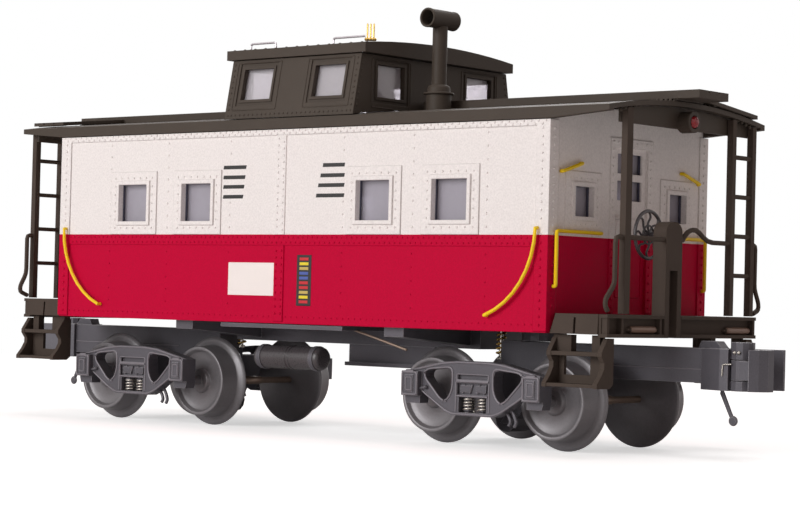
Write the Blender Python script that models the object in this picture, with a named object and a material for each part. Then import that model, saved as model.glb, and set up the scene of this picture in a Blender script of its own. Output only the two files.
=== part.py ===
"""Model railway caboose for O gauge track, scale 1:48, with a rooftop cupola.

+X runs along the car, +Z is up and Z = 0 lies under the wheel flanges, below the
middle of the car. Lengths are in metres and angles in degrees. The car is the same
after half a turn about Z, so everything at end b is end a turned round.
"""
import math

import bmesh
import bpy
from mathutils import Matrix, Vector

# Clearances
GAP = 0.0002            # between two pieces that seat on each other
BITE = 0.00015          # how far fused shapes run into each other
RUNNING = 0.00015       # radial, between a turning pin and its hole

# Thin stock
SHEET = 0.0008          # webs, flanges and gussets
WALL = 0.0016
RELIEF = 0.0003         # how proud strips and flanges stand
WIRE_RADIUS = 0.00045
RAIL_RADIUS = 0.0006
FINE_WIRE_RADIUS = 0.0003

# Wheelsets
AXLE_X = 0.0179         # half the wheelbase of a truck
FLANGE_RADIUS = 0.0116
FLANGE_HEIGHT = 0.0026
TREAD_RADIUS = FLANGE_RADIUS - FLANGE_HEIGHT
WHEEL_FACE_Y = 0.0207
WHEEL_WIDTH = 0.0064
FLANGE_WIDTH = 0.0011
AXLE_RADIUS = 0.0016
HUB_RADIUS = 0.0030
RIM_DEPTH = 0.0013
DISH = 0.0016
STUB_RADIUS = 0.0010
STUB_DEPTH = 0.0012

# Side frames of a truck, heights above or below the axle
FRAME_Y = (WHEEL_FACE_Y + 0.0035, WHEEL_FACE_Y + 0.0067)
FRAME_CROWN = 0.0086
FRAME_FOOT = 0.0041
TRUSS_WIDTH = 0.0015
COLUMN_X = 0.0062
PEDESTAL_HALF = 0.0021
PEDESTAL_DROP = 0.0018
JOURNAL_SIZE = (0.0050, 0.0058)
JOURNAL_RISE = 0.0029
JOURNAL_PROUD = 0.0015
LID_SIZE = (0.0024, 0.0040)
SPRING_WINDOW = (0.0041, 0.0036)
SPRING_X = 0.00215
SPRING_RADIUS = 0.0014
SPRING_COILS = 3
CHAIR_WINDOW = (0.0046, 0.0028)
CHAIR_BLOCK = (0.0030, 0.0016)
CHORD_SLOT = (0.0044, 0.0012)

# Bolster and drawbar of a truck
BOLSTER_HALF_LENGTH = 0.0046
ARM_HALF_WIDTH = 0.0044
ARM_Z = (FLANGE_RADIUS + 0.0054, FLANGE_RADIUS + 0.0132)
ARM_BACK_X = -0.0095
BOLSTER_Z = (FLANGE_RADIUS, ARM_Z[0] + SHEET)
PICKUP_RADIUS = 0.0032
PICKUP_HALF_WIDTH = 0.0040
PICKUP_X = -0.0080
PICKUP_ARM = 0.0022

# Coupler, measured from the pivot of its truck
HEAD_X = 0.0481
HEAD_HALF_WIDTH = 0.0053
HEAD_Z = (ARM_Z[0] - 0.0014, ARM_Z[1] + 0.0001)
LUG_THICKNESS = 0.0022
KNUCKLE_X = 0.0586
KNUCKLE_Y = -0.0046
KNUCKLE_HUB = 0.0027
BOSS_HEIGHT = 0.0016
THROAT = 0.0022         # from the head's throat to the knuckle's pin
GUARD_REACH = 0.0033    # of the guard arm's tip past the knuckle's pin
GUARD_Y = (0.0076, 0.0090)
HOOK_REACH = 0.0062
HOOK_TIP_Y = -0.0010
HOOK_THICKNESS = 0.0026
RELEASE_PIN = (0.0033, 0.0070)

# Underframe
PAD_THICKNESS = 0.0013
PAD_RADIUS = 0.0055
FLOOR_THICKNESS = 0.0010
FLOOR_EDGE_LENGTH = 0.0205

# Body shell
BODY_HALF_LENGTH = 0.0816
BODY_HALF_WIDTH = 0.0322
BODY_BOTTOM = ARM_Z[1] + PAD_THICKNESS + FLOOR_THICKNESS + 2 * GAP
BODY_HEIGHT = 0.0482
STRIP_WIDTH = 0.0035
EAVE_STRIP = 0.0014

# End platform and its beam
PLATFORM_LENGTH = 0.0159
BEAM_FACE = BODY_HALF_LENGTH + PLATFORM_LENGTH
BEAM_DEPTH = 0.0025
BEAM_HALF_WIDTH = BODY_HALF_WIDTH - 0.0011
DECK_THICKNESS = 0.0045
DECK_BOTTOM = BODY_BOTTOM
DECK_TOP = DECK_BOTTOM + DECK_THICKNESS
BEAM_BOTTOM = DECK_BOTTOM - 0.0006
DECK_HALF_WIDTH = BODY_HALF_WIDTH - 0.0011
DECK_FLARE = 0.0003
DECK_GROOVE = 0.0006
DECK_GROOVE_X = BODY_HALF_LENGTH + 0.0072
DECK_CHAMFER = 0.0014

# Side and end windows, heights above the body's bottom edge
WINDOW_SILL = 0.0254
SIDE_GLASS = (0.0105, 0.0096)
SIDE_WINDOW_X = (0.0298, 0.0533)
END_GLASS = (0.0073, 0.0069)
END_WINDOW_Y = BODY_HALF_WIDTH - 0.0130
END_WINDOW_SILL = 0.0266
FRAME_RIM = 0.0010
FRAME_PROUD = 0.0007
FLANGE_RIM = 0.00235
GLASS_THICKNESS = 0.0008
GLASS_LAP = 0.0015

# End door, its height above the deck and its panes' below the head
DOOR_HALF_WIDTH = 0.0066
DOOR_FRAME_RIM = 0.00205
DOOR_TOP = DECK_TOP + 0.0390
DOOR_RECESS = 0.0004
PANE_SIZE = (0.0044, 0.0046)
PANE_ROWS = (DOOR_TOP - 0.0124, DOOR_TOP - 0.0061)
PANE_Y = 0.0028
KNOB_RADIUS = 0.0006
KNOB_HEIGHT = DECK_TOP + 0.0226

# Roof
ROOF_OVERHANG = 0.0162
ROOF_HALF_LENGTH = BODY_HALF_LENGTH + ROOF_OVERHANG
ROOF_HALF_WIDTH = BODY_HALF_WIDTH + RELIEF
ROOF_RISE = 0.0028
ROOF_THICKNESS = 0.0011
FASCIA_WIDTH = 0.0018
FASCIA_HEIGHT = 0.0026
FASCIA_BOTTOM = BODY_BOTTOM + BODY_HEIGHT
FASCIA_END_RISE = 0.0013
ROOF_CROWN = FASCIA_BOTTOM + FASCIA_HEIGHT + ROOF_RISE
ARCH_STEPS = 12

# Running boards
BOARD_HALF_WIDTH = 0.0061
BOARD_END = ROOF_HALF_LENGTH + 0.0062
BOARD_TOP = ROOF_CROWN + 0.0024
BOARD_THICKNESS = 0.0019
PLANK_GROOVE = 0.0005
SADDLE_THICKNESS = 0.0012
SADDLE_COUNT = 5
LATERAL_WIDTH = 0.0120
LATERAL_REACH = BODY_HALF_WIDTH - 0.0038
LATERAL_THICKNESS = 0.0009
LATERAL_DROP = 0.0022
CLEAT_COUNT = 3
CLEAT_INSET = 0.0016
CLEAT_FIRST = BOARD_HALF_WIDTH + 0.0044

# Cupola
CUPOLA_HALF_LENGTH = 0.0217
CUPOLA_FOOT_HALF_WIDTH = ROOF_HALF_WIDTH - 0.0006
CUPOLA_LEAN = 0.0033
CUPOLA_HEAD_HALF_WIDTH = CUPOLA_FOOT_HALF_WIDTH - CUPOLA_LEAN
CUPOLA_FOOT = FASCIA_BOTTOM + SHEET
CUPOLA_HEAD = CUPOLA_FOOT + 0.0172
CUPOLA_WALL = 0.0014
CUPOLA_SIDE_GLASS = (0.0100, 0.0078)
CUPOLA_SIDE_X = 0.0121
CUPOLA_END_GLASS = (0.0102, 0.0080)
CUPOLA_END_Y = CUPOLA_HEAD_HALF_WIDTH - 0.0112
CUPOLA_SILL = CUPOLA_FOOT + 0.0070
CUPOLA_FRAME_RIM = 0.0007
CUPOLA_GROOVE = 0.0008
CUPOLA_ROOF_HALF_LENGTH = CUPOLA_HALF_LENGTH + 0.0017
CUPOLA_ROOF_HALF_WIDTH = CUPOLA_HEAD_HALF_WIDTH + 0.0007
CUPOLA_ROOF_EDGE = 0.0024
CUPOLA_ROOF_RISE = 0.0017
SADDLE_FIRST = CUPOLA_HALF_LENGTH + 0.0150
SADDLE_LAST = ROOF_HALF_LENGTH - SHEET

# Smoke jack, antenna and roof rails
JACK_X = CUPOLA_HALF_LENGTH + 0.0095
JACK_Y = 0.0105
JACK_RADIUS = 0.0016
JACK_COLLAR_RADIUS = 0.0024
JACK_COLLAR_HEIGHT = 0.0028
JACK_FLASHING_RADIUS = 0.0038
JACK_FLASHING_HEIGHT = 0.0010
JACK_CHAMFER = 0.0004
JACK_TOP = ROOF_CROWN + 0.0220
JACK_HEAD_RADIUS = 0.0025
JACK_HEAD_BORE = 0.00195
JACK_HEAD_HALF_LENGTH = 0.0054
RAIL_RISE = 0.0014
RAIL_Y = CUPOLA_ROOF_HALF_WIDTH - 0.0057
RIGHT_RAIL_X = (CUPOLA_HALF_LENGTH - 0.0139, CUPOLA_HALF_LENGTH - 0.0029)
LEFT_RAIL_X = (0.0012 - CUPOLA_HALF_LENGTH, 0.0099 - CUPOLA_HALF_LENGTH)
ANTENNA_X = CUPOLA_ROOF_HALF_LENGTH - 0.0022
ANTENNA_Y = CUPOLA_ROOF_HALF_WIDTH - 0.0043
ANTENNA_HEIGHT = 0.0042
ANTENNA_PITCH = 0.0010
ANTENNA_FOOT_RADIUS = 0.0015

# Brake stand and hand wheel
STAND_DEPTH = 0.0036
STAND_X = (BEAM_FACE - STAND_DEPTH, BEAM_FACE)
STAND_Y = (-0.0084, -0.0018)
STAND_TOP = DECK_TOP + 0.0215
STAND_HEAD_RISE = 0.0025
STAND_SLOT_Y = (-0.0068, -0.0035)
STAND_SLOT_TOP = DECK_TOP + 0.0103
BRAKE_WHEEL_X = STAND_X[0] - 0.0036
BRAKE_WHEEL_Z = STAND_TOP - 0.0030
BRAKE_WHEEL_RADIUS = 0.0059
BRAKE_HUB_RADIUS = 0.0011
BRAKE_HUB_PROUD = 0.0008
SPOKES = 6

# End railing and ladder
POST_DEPTH = 0.0016
POST_X = (BEAM_FACE - POST_DEPTH, BEAM_FACE)
CORNER_POST_Y = (BODY_HALF_WIDTH - 0.0096, BODY_HALF_WIDTH - 0.0074)
STILE_WIDTH = 0.0016
LADDER_Y = (BODY_HALF_WIDTH - 0.0133, BODY_HALF_WIDTH - 0.0028)
STILE_Y = ((LADDER_Y[0], LADDER_Y[0] + STILE_WIDTH),
           (LADDER_Y[1] - STILE_WIDTH, LADDER_Y[1]))
RUNG_TOP = FASCIA_BOTTOM - 0.0058
RUNG_PITCH = 0.00937
RUNG_COUNT = 4
RAIL_HEIGHT = DECK_TOP + 0.0173
RAIL_WAVE = 0.0029
RAIL_WAVE_BEND = 0.0022
HANDRAIL_BEND = 0.0105  # drop of a handrail before it bows outwards
HANDRAIL_BOW = 0.0035
POST_HANDRAIL_Y = (CORNER_POST_Y[1] + 0.0026, CORNER_POST_Y[1] + 0.0060,
                   CORNER_POST_Y[1] + 0.0051)
LADDER_HANDRAIL_Y = (LADDER_Y[1] + 0.0018, LADDER_Y[1] + 0.0038,
                     LADDER_Y[1] + 0.0012)
ARCH_PLATE_X = (POST_X[0] - GAP - SHEET, POST_X[0] - GAP)
ARCH_PLATE_BOTTOM = FASCIA_BOTTOM - 0.0007
LAMP_HEIGHT = FASCIA_BOTTOM + 0.0009
LAMP_RADIUS = 0.0025
LAMP_FRONT = ROOF_HALF_LENGTH + 0.0011
LENS_RADIUS = 0.0014
LENS_CROWN = 0.0009
BEAM_BAR_Y = ((STAND_Y[0] - CORNER_POST_Y[0]) / 2, BEAM_HALF_WIDTH - 0.0068)
BEAM_BAR_HALF = 0.0056
BEAM_BAR_DROP = 0.0033
BEND = 0.0008

# Steps, hung below the platform
STEP_X = (BODY_HALF_LENGTH + RELIEF, BEAM_FACE - 0.0005)
STEP_PLATE = 0.0012
STEP_INNER_Y = BODY_HALF_WIDTH - 0.0047
STEP_NECK_Y = BODY_HALF_WIDTH - 0.0023
STEP_NOSES_Y = (BODY_HALF_WIDTH + 0.0015, BODY_HALF_WIDTH - 0.0001)
STEP_RISER_Y = BODY_HALF_WIDTH - 0.0034
TREAD_THICKNESS = 0.0009
TREAD_HEIGHTS = (BEAM_BOTTOM - 0.0104, BEAM_BOTTOM - 0.0033)
STEP_HANGERS = (0.0051, 0.0022)
STEP_HOLE = (0.0072, 0.0042)
STEP_HOLE_RISE = 0.0004

# Grab irons
GRAB_OFF = 0.0010       # from the wall to the wire's axis
GRAB_BEND = 0.0006
SIDE_GRAB_X = BODY_HALF_LENGTH - 0.0026
SIDE_GRAB_TOP = BODY_BOTTOM + 0.0235
SIDE_GRAB_RADIUS = 0.0212
SIDE_GRAB_SWEEP = 70.0
END_GRAB_Y = (DOOR_HALF_WIDTH + 0.0063, BODY_HALF_WIDTH - 0.0016)
END_GRAB_Z = (DECK_TOP + 0.0060, DECK_TOP + 0.0185)
HIGH_GRAB_Y = (END_WINDOW_Y + 0.0015, END_WINDOW_Y + 0.0090)
HIGH_GRAB_Z = (FASCIA_BOTTOM - 0.0095, FASCIA_BOTTOM - 0.0117)

# Where the trucks stand, and what hangs between them
TRUCK_X = BODY_HALF_LENGTH - 0.0242
SILL_HALF_WIDTH = 0.0045
SILL_HALF_LENGTH = TRUCK_X - 0.0160
SILL_BOTTOM = BODY_BOTTOM - 0.0050
DEEP_SILL_X = (-0.0014, 0.0270)
DEEP_SILL_BOTTOM = BODY_BOTTOM - 0.0103
SILL_FLANGE = 0.0015
CROSSBEARER_HALF = 0.0030
CROSSBEARER_DROP = 0.0022
TANK_X = (-0.0146, 0.0073)
TANK_Y = BODY_HALF_WIDTH - 0.0087
TANK_Z = BODY_BOTTOM - 0.0085
TANK_RADIUS = 0.0029
TANK_BAND = 0.0002
TANK_LIP = 0.0006
HANGER_THICKNESS = 0.0010
HANGER_HALF_WIDTH = 0.0010
HANGER_INSET = 0.0007

ROUND = 16
WHEEL_SEGMENTS = 20
WIRE_SIDES = 6

COLOURS = {
    "body": ((0.83, 0.80, 0.78), 0.60, 0.0),
    "trim": ((0.055, 0.045, 0.040), 0.60, 0.0),
    "roof": ((0.050, 0.042, 0.038), 0.65, 0.0),
    "cast": ((0.095, 0.095, 0.105), 0.50, 0.3),
    "wheel": ((0.14, 0.14, 0.15), 0.40, 0.6),
    "grab": ((0.88, 0.66, 0.01), 0.40, 0.0),
    "glass": ((0.30, 0.34, 0.38), 0.08, 0.0),
    "lens": ((0.60, 0.03, 0.03), 0.12, 0.0),
    "steel": ((0.70, 0.70, 0.72), 0.25, 1.0),
    "brass": ((0.80, 0.58, 0.25), 0.30, 1.0),
}


def clear_scene():
    for item in list(bpy.data.objects):
        bpy.data.objects.remove(item, do_unlink=True)


def finish(slot):
    """The Principled material of one colour slot, made once."""
    found = bpy.data.materials.get(slot)
    if found:
        return found
    colour, roughness, metallic = COLOURS[slot]
    made = bpy.data.materials.new(slot)
    made.use_nodes = True
    shader = made.node_tree.nodes["Principled BSDF"]
    shader.inputs["Base Color"].default_value = (*colour, 1.0)
    shader.inputs["Roughness"].default_value = roughness
    shader.inputs["Metallic"].default_value = metallic
    made.diffuse_color = (*colour, 1.0)
    return made


# Shapes

def box(x, y, z):
    """A block between the two values given for each direction."""
    shape = bmesh.new()
    bmesh.ops.create_cube(shape, size=1.0)
    low = Vector((min(x), min(y), min(z)))
    high = Vector((max(x), max(y), max(z)))
    middle = (low + high) / 2
    for vertex in shape.verts:
        vertex.co = middle + Vector(
            vertex.co[i] * (high[i] - low[i]) for i in range(3))
    return shape


AXES = {"x": (1, 2, 0), "y": (0, 2, 1), "z": (0, 1, 2)}


def placed(u, v, w, across):
    """A point from two in-plane values and one along the axis named across."""
    first, second, third = AXES[across]
    point = [0.0, 0.0, 0.0]
    point[first], point[second], point[third] = u, v, w
    return point


def plate(outline, span, across, holes=()):
    """A flat outline with holes, extruded over span along the axis named across."""
    shape = bmesh.new()
    for loop in (outline, *holes):
        corners = [shape.verts.new(placed(u, v, span[0], across)) for u, v in loop]
        for start, end in zip(corners, corners[1:] + corners[:1]):
            shape.edges.new((start, end))
    bmesh.ops.triangle_fill(shape, edges=shape.edges[:], use_beauty=True)
    front = bmesh.ops.extrude_face_region(shape, geom=shape.faces[:])["geom"]
    moved = [item for item in front if isinstance(item, bmesh.types.BMVert)]
    step = Vector(placed(0.0, 0.0, span[1] - span[0], across))
    bmesh.ops.translate(shape, verts=moved, vec=step)
    bmesh.ops.recalc_face_normals(shape, faces=shape.faces[:])
    return shape


def rectangle(u, v):
    return [(u[0], v[0]), (u[1], v[0]), (u[1], v[1]), (u[0], v[1])]


def around(centre, size):
    """The rectangle of a given size about a centre."""
    half_u, half_v = size[0] / 2, size[1] / 2
    return rectangle((centre[0] - half_u, centre[0] + half_u),
                     (centre[1] - half_v, centre[1] + half_v))


def rounded(corners, radius, steps=3):
    """The corners of an outline, each turned into an arc of about the radius."""
    points = []
    count = len(corners)
    for index, corner in enumerate(corners):
        here = Vector(corner)
        before = Vector(corners[index - 1]) - here
        after = Vector(corners[(index + 1) % count]) - here
        reach = min(radius, before.length / 2.1, after.length / 2.1)
        start = here + before.normalized() * reach
        end = here + after.normalized() * reach
        for step in range(steps + 1):
            t = step / steps
            point = start.lerp(here, t).lerp(here.lerp(end, t), t)
            points.append((point.x, point.y))
    return points


def loft(sections):
    """A closed solid through rings of as many points each."""
    shape = bmesh.new()
    rings = [[shape.verts.new(point) for point in section] for section in sections]
    count = len(rings[0])
    for ring, following in zip(rings, rings[1:]):
        for i in range(count):
            j = (i + 1) % count
            shape.faces.new((ring[i], ring[j], following[j], following[i]))
    shape.faces.new(rings[0])
    shape.faces.new(rings[-1])
    bmesh.ops.recalc_face_normals(shape, faces=shape.faces[:])
    return shape


def turned(profile, axis, centre=(0.0, 0.0, 0.0), segments=ROUND, ring_shape=False):
    """A profile of (along, radius) pairs spun about an axis through the centre.

    The profile's ends are capped, or joined to each other for a ring.
    """
    shape = bmesh.new()
    first, second, third = AXES[axis]
    rings = []
    for along, radius in profile:
        ring = []
        for step in range(segments if radius > 0 else 1):
            angle = 2 * math.pi * step / segments
            point = list(centre)
            point[first] += radius * math.cos(angle)
            point[second] += radius * math.sin(angle)
            point[third] += along
            ring.append(shape.verts.new(point))
        rings.append(ring)
    following_rings = rings[1:] + (rings[:1] if ring_shape else [])
    for ring, following in zip(rings, following_rings):
        for i in range(segments):
            j = (i + 1) % segments
            corners = [ring[i % len(ring)], ring[j % len(ring)],
                       following[j % len(following)], following[i % len(following)]]
            shape.faces.new(list(dict.fromkeys(corners)))
    for ring in (rings[0], rings[-1]):
        if len(ring) > 2 and not ring_shape:
            shape.faces.new(ring)
    bmesh.ops.recalc_face_normals(shape, faces=shape.faces[:])
    return shape


def cylinder(radius, span, axis, centre=(0.0, 0.0, 0.0), segments=ROUND):
    return turned([(span[0], radius), (span[1], radius)], axis, centre, segments)


def wire(points, radius, sides=WIRE_SIDES):
    """A round wire with flat ends along a line of points."""
    path = [Vector(point) for point in points]
    directions = [(b - a).normalized() for a, b in zip(path, path[1:])]
    tangents = [directions[0]]
    tangents += [(a + b).normalized() for a, b in zip(directions, directions[1:])]
    tangents.append(directions[-1])
    side = directions[0].orthogonal().normalized()
    sections = []
    for point, tangent in zip(path, tangents):
        side = (side - tangent * side.dot(tangent)).normalized()
        upward = tangent.cross(side)
        section = []
        for step in range(sides):
            angle = 2 * math.pi * (step + 0.5) / sides
            section.append(point + radius * (side * math.cos(angle)
                                             + upward * math.sin(angle)))
        sections.append(section)
    return loft(sections)


def bent(points, radius, steps=2):
    """A line of points in space with its inner corners turned into bends."""
    path = [Vector(point) for point in points]
    smooth = [path[0]]
    for before, here, after in zip(path, path[1:], path[2:]):
        back, ahead = before - here, after - here
        reach = min(radius, back.length / 2.1, ahead.length / 2.1)
        start = here + back.normalized() * reach
        end = here + ahead.normalized() * reach
        for step in range(steps + 1):
            t = step / steps
            smooth.append(start.lerp(here, t).lerp(here.lerp(end, t), t))
    smooth.append(path[-1])
    return smooth


def turned_round(shape):
    """The shape after half a turn about the vertical axis."""
    copy = shape.copy()
    bmesh.ops.transform(copy, matrix=Matrix.Rotation(math.pi, 4, "Z"), verts=copy.verts)
    return copy


def mirrored(shape, axis):
    """The shape mirrored along x or y, with its faces still pointing out."""
    copy = shape.copy()
    scale = Vector((-1.0 if axis == "x" else 1.0, -1.0 if axis == "y" else 1.0, 1.0))
    bmesh.ops.scale(copy, vec=scale, verts=copy.verts)
    bmesh.ops.reverse_faces(copy, faces=copy.faces[:])
    return copy


def temporary(shape):
    mesh = bpy.data.meshes.new("working")
    shape.to_mesh(mesh)
    item = bpy.data.objects.new("working", mesh)
    bpy.context.scene.collection.objects.link(item)
    return item


def combined(base, tools, operation):
    """The base after exact Booleans with each tool in turn."""
    main = temporary(base)
    helpers = [temporary(tool) for tool in tools]
    for helper in helpers:
        modifier = main.modifiers.new("combine", "BOOLEAN")
        modifier.operation = operation
        modifier.solver = "EXACT"
        modifier.object = helper
    graph = bpy.context.evaluated_depsgraph_get()
    result = bmesh.new()
    result.from_object(main, graph)
    bmesh.ops.remove_doubles(result, verts=result.verts[:], dist=1e-7)
    bmesh.ops.dissolve_limit(result, angle_limit=math.radians(0.05),
                             verts=result.verts[:], edges=result.edges[:])
    for item in (main, *helpers):
        mesh = item.data
        bpy.data.objects.remove(item, do_unlink=True)
        bpy.data.meshes.remove(mesh)
    return result


def fused(base, *tools):
    return combined(base, tools, "UNION")


def cut(base, *tools):
    return combined(base, tools, "DIFFERENCE")


def node(name, shape, slot, parent=None, origin=(0.0, 0.0, 0.0), round_angle=None):
    """One named piece of the car, with its origin where it is asked for."""
    copy = shape.copy()
    bmesh.ops.translate(copy, verts=copy.verts, vec=-Vector(origin))
    mesh = bpy.data.meshes.new(name)
    copy.to_mesh(mesh)
    if round_angle:
        mesh.shade_smooth()
        mesh.set_sharp_from_angle(angle=math.radians(round_angle))
    mesh.materials.append(finish(slot))
    item = bpy.data.objects.new(name, mesh)
    bpy.context.scene.collection.objects.link(item)
    item.location = origin
    item.parent = parent
    return item


def node_at_both_ends(name, shape, slot, **options):
    """The piece at end a and its twin at end b."""
    node(name + "_a", shape, slot, **options)
    node(name + "_b", turned_round(shape), slot, **options)


# Roof surfaces

def roof_top(y, raised=0.0):
    return ROOF_CROWN - ROOF_RISE * (y / ROOF_HALF_WIDTH) ** 2 + raised


def roof_under(y):
    return roof_top(y) - ROOF_THICKNESS


def arch(half_width, height, steps=ARCH_STEPS):
    """Points of a curved line from -half_width to half_width, height given by y."""
    values = [half_width * (2 * step / steps - 1) for step in range(steps + 1)]
    return [(y, height(y)) for y in values]


def seated_on_roof(shape):
    """The shape cut off just above the roof's outer surface."""
    reach = 2 * ROOF_HALF_WIDTH
    outline = arch(ROOF_HALF_WIDTH, lambda y: roof_top(y, GAP))
    outline += [(ROOF_HALF_WIDTH + GAP, FASCIA_BOTTOM - reach),
                (-ROOF_HALF_WIDTH - GAP, FASCIA_BOTTOM - reach)]
    length = 2 * ROOF_HALF_LENGTH
    return cut(shape, plate(outline, (-length, length), "x"))


# Body

def window_solids(centre, glass, face, across):
    """A window's flange and raised frame, standing on the wall's outer face."""
    solids = []
    for rim, proud in ((FRAME_RIM + FLANGE_RIM, RELIEF), (FRAME_RIM, FRAME_PROUD)):
        size = (glass[0] + 2 * rim, glass[1] + 2 * rim)
        outer = face + math.copysign(proud, face)
        inner = face - math.copysign(BITE, face)
        solids.append(plate(around(centre, size), (inner, outer), across))
    return solids


def window_hole(centre, glass, face, across):
    depth = 3 * WALL
    return plate(around(centre, glass), (face - depth, face + depth), across)


def side_window_centres():
    height = BODY_BOTTOM + WINDOW_SILL + SIDE_GLASS[1] / 2
    return [(sign * x, height) for sign in (-1, 1) for x in SIDE_WINDOW_X]


def end_window_centres():
    height = BODY_BOTTOM + END_WINDOW_SILL + END_GLASS[1] / 2
    return [(sign * END_WINDOW_Y, height) for sign in (-1, 1)]


def door_pane_centres():
    return [(sign * PANE_Y, low + PANE_SIZE[1] / 2)
            for sign in (-1, 1) for low in PANE_ROWS]


def body_shell():
    side_top = FASCIA_BOTTOM - GAP
    inner = ROOF_HALF_WIDTH - FASCIA_WIDTH - GAP
    outline = arch(inner, lambda y: roof_under(y) - GAP)
    outline += [(inner, side_top), (BODY_HALF_WIDTH, side_top),
                (BODY_HALF_WIDTH, BODY_BOTTOM), (-BODY_HALF_WIDTH, BODY_BOTTOM),
                (-BODY_HALF_WIDTH, side_top), (-inner, side_top)]
    shell = plate(outline, (-BODY_HALF_LENGTH, BODY_HALF_LENGTH), "x")
    length, width = BODY_HALF_LENGTH - WALL, BODY_HALF_WIDTH - WALL
    inside = box((-length, length), (-width, width),
                 (BODY_BOTTOM - WALL, ROOF_CROWN + WALL))
    doors = [box((end * (BODY_HALF_LENGTH - DOOR_RECESS), end * (BODY_HALF_LENGTH + WALL)),
                 (-DOOR_HALF_WIDTH, DOOR_HALF_WIDTH), (DECK_TOP + GAP, DOOR_TOP))
             for end in (-1, 1)]
    shell = cut(shell, inside, *doors)
    added, holes = [], []
    for side in (-BODY_HALF_WIDTH, BODY_HALF_WIDTH):
        for centre in side_window_centres():
            added += window_solids(centre, SIDE_GLASS, side, "y")
            holes.append(window_hole(centre, SIDE_GLASS, side, "y"))
        face = (side - math.copysign(BITE, side), side + math.copysign(RELIEF, side))
        eave = (side_top - EAVE_STRIP, side_top)
        added.append(box((-BODY_HALF_LENGTH, BODY_HALF_LENGTH), face, eave))
        for end in (-1, 1):
            strip = (end * (BODY_HALF_LENGTH - STRIP_WIDTH), end * BODY_HALF_LENGTH)
            added.append(box(strip, face, (BODY_BOTTOM + RELIEF, side_top)))
    for end in (-BODY_HALF_LENGTH, BODY_HALF_LENGTH):
        for centre in end_window_centres():
            added += window_solids(centre, END_GLASS, end, "x")
            holes.append(window_hole(centre, END_GLASS, end, "x"))
        added += door_solids(end)
        for centre in door_pane_centres():
            holes.append(window_hole(centre, PANE_SIZE, end, "x"))
        face = (end - math.copysign(BITE, end), end + math.copysign(RELIEF, end))
        for side in (-1, 1):
            strip = (side * (BODY_HALF_WIDTH - STRIP_WIDTH + RELIEF),
                     side * (BODY_HALF_WIDTH + RELIEF))
            added.append(box(face, strip, (BODY_BOTTOM + RELIEF, side_top)))
    return cut(fused(shell, *added), *holes)


def door_solids(end):
    """The door's riveted frame, open over the leaf, and the knob."""
    outer, inner = end + math.copysign(RELIEF, end), end - math.copysign(BITE, end)
    wide = DOOR_HALF_WIDTH + DOOR_FRAME_RIM
    bottom = DECK_TOP + GAP
    outline = [(-wide, bottom), (-DOOR_HALF_WIDTH, bottom),
               (-DOOR_HALF_WIDTH, DOOR_TOP), (DOOR_HALF_WIDTH, DOOR_TOP),
               (DOOR_HALF_WIDTH, bottom), (wide, bottom),
               (wide, DOOR_TOP + DOOR_FRAME_RIM), (-wide, DOOR_TOP + DOOR_FRAME_RIM)]
    frame = plate(outline, (inner, outer), "x")
    side = -math.copysign(DOOR_HALF_WIDTH - 2 * KNOB_RADIUS, end)
    leaf = end - math.copysign(DOOR_RECESS + BITE, end)
    tip = end + math.copysign(2 * KNOB_RADIUS, end)
    knob = cylinder(KNOB_RADIUS, (leaf, tip), "x", (0.0, side, KNOB_HEIGHT), 8)
    return [frame, knob]


def side_glass(side):
    """The clear strip behind the four windows of one side."""
    wall = BODY_HALF_WIDTH - WALL - GAP
    reach = max(SIDE_WINDOW_X) + SIDE_GLASS[0] / 2 + GLASS_LAP
    low = BODY_BOTTOM + WINDOW_SILL - GLASS_LAP
    high = low + SIDE_GLASS[1] + 2 * GLASS_LAP
    return box((-reach, reach), (side * wall, side * (wall - GLASS_THICKNESS)),
               (low, high))


def end_glass():
    """The clear strip behind the windows and the door panes of end a."""
    wall = BODY_HALF_LENGTH - WALL - GAP
    reach = END_WINDOW_Y + END_GLASS[0] / 2 + GLASS_LAP
    low = BODY_BOTTOM + END_WINDOW_SILL - GLASS_LAP
    high = low + END_GLASS[1] + 2 * GLASS_LAP
    middle = PANE_Y + PANE_SIZE[0] / 2 + GLASS_LAP
    top = max(PANE_ROWS) + PANE_SIZE[1] + GLASS_LAP
    outline = [(-reach, low), (reach, low), (reach, high), (middle, high),
               (middle, top), (-middle, top), (-middle, high), (-reach, high)]
    return plate(outline, (wall - GLASS_THICKNESS, wall), "x")


# Roof, running boards and what stands on the roof

def roof():
    def section(x, fascia):
        inner = ROOF_HALF_WIDTH - FASCIA_WIDTH
        loop = arch(ROOF_HALF_WIDTH, roof_top) + [
            (ROOF_HALF_WIDTH, fascia), (inner, fascia)]
        loop += reversed(arch(inner, roof_under))
        loop += [(-inner, fascia), (-ROOF_HALF_WIDTH, fascia)]
        return [(x, y, z) for y, z in loop]

    tip = FASCIA_BOTTOM + FASCIA_END_RISE
    return loft([section(-ROOF_HALF_LENGTH, tip),
                 section(-BODY_HALF_LENGTH, FASCIA_BOTTOM),
                 section(BODY_HALF_LENGTH, FASCIA_BOTTOM),
                 section(ROOF_HALF_LENGTH, tip)])


def planked(half_width, top, thickness):
    """The cross-section of a board of three planks with grooves between them."""
    third = 2 * half_width / 3
    half_groove = PLANK_GROOVE / 2
    loop = [(-half_width, top - thickness), (half_width, top - thickness),
            (half_width, top)]
    for middle in (half_width - third, third - half_width):
        loop += [(middle + half_groove, top), (middle + half_groove, top - PLANK_GROOVE),
                 (middle - half_groove, top - PLANK_GROOVE), (middle - half_groove, top)]
    return loop + [(-half_width, top)]


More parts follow.
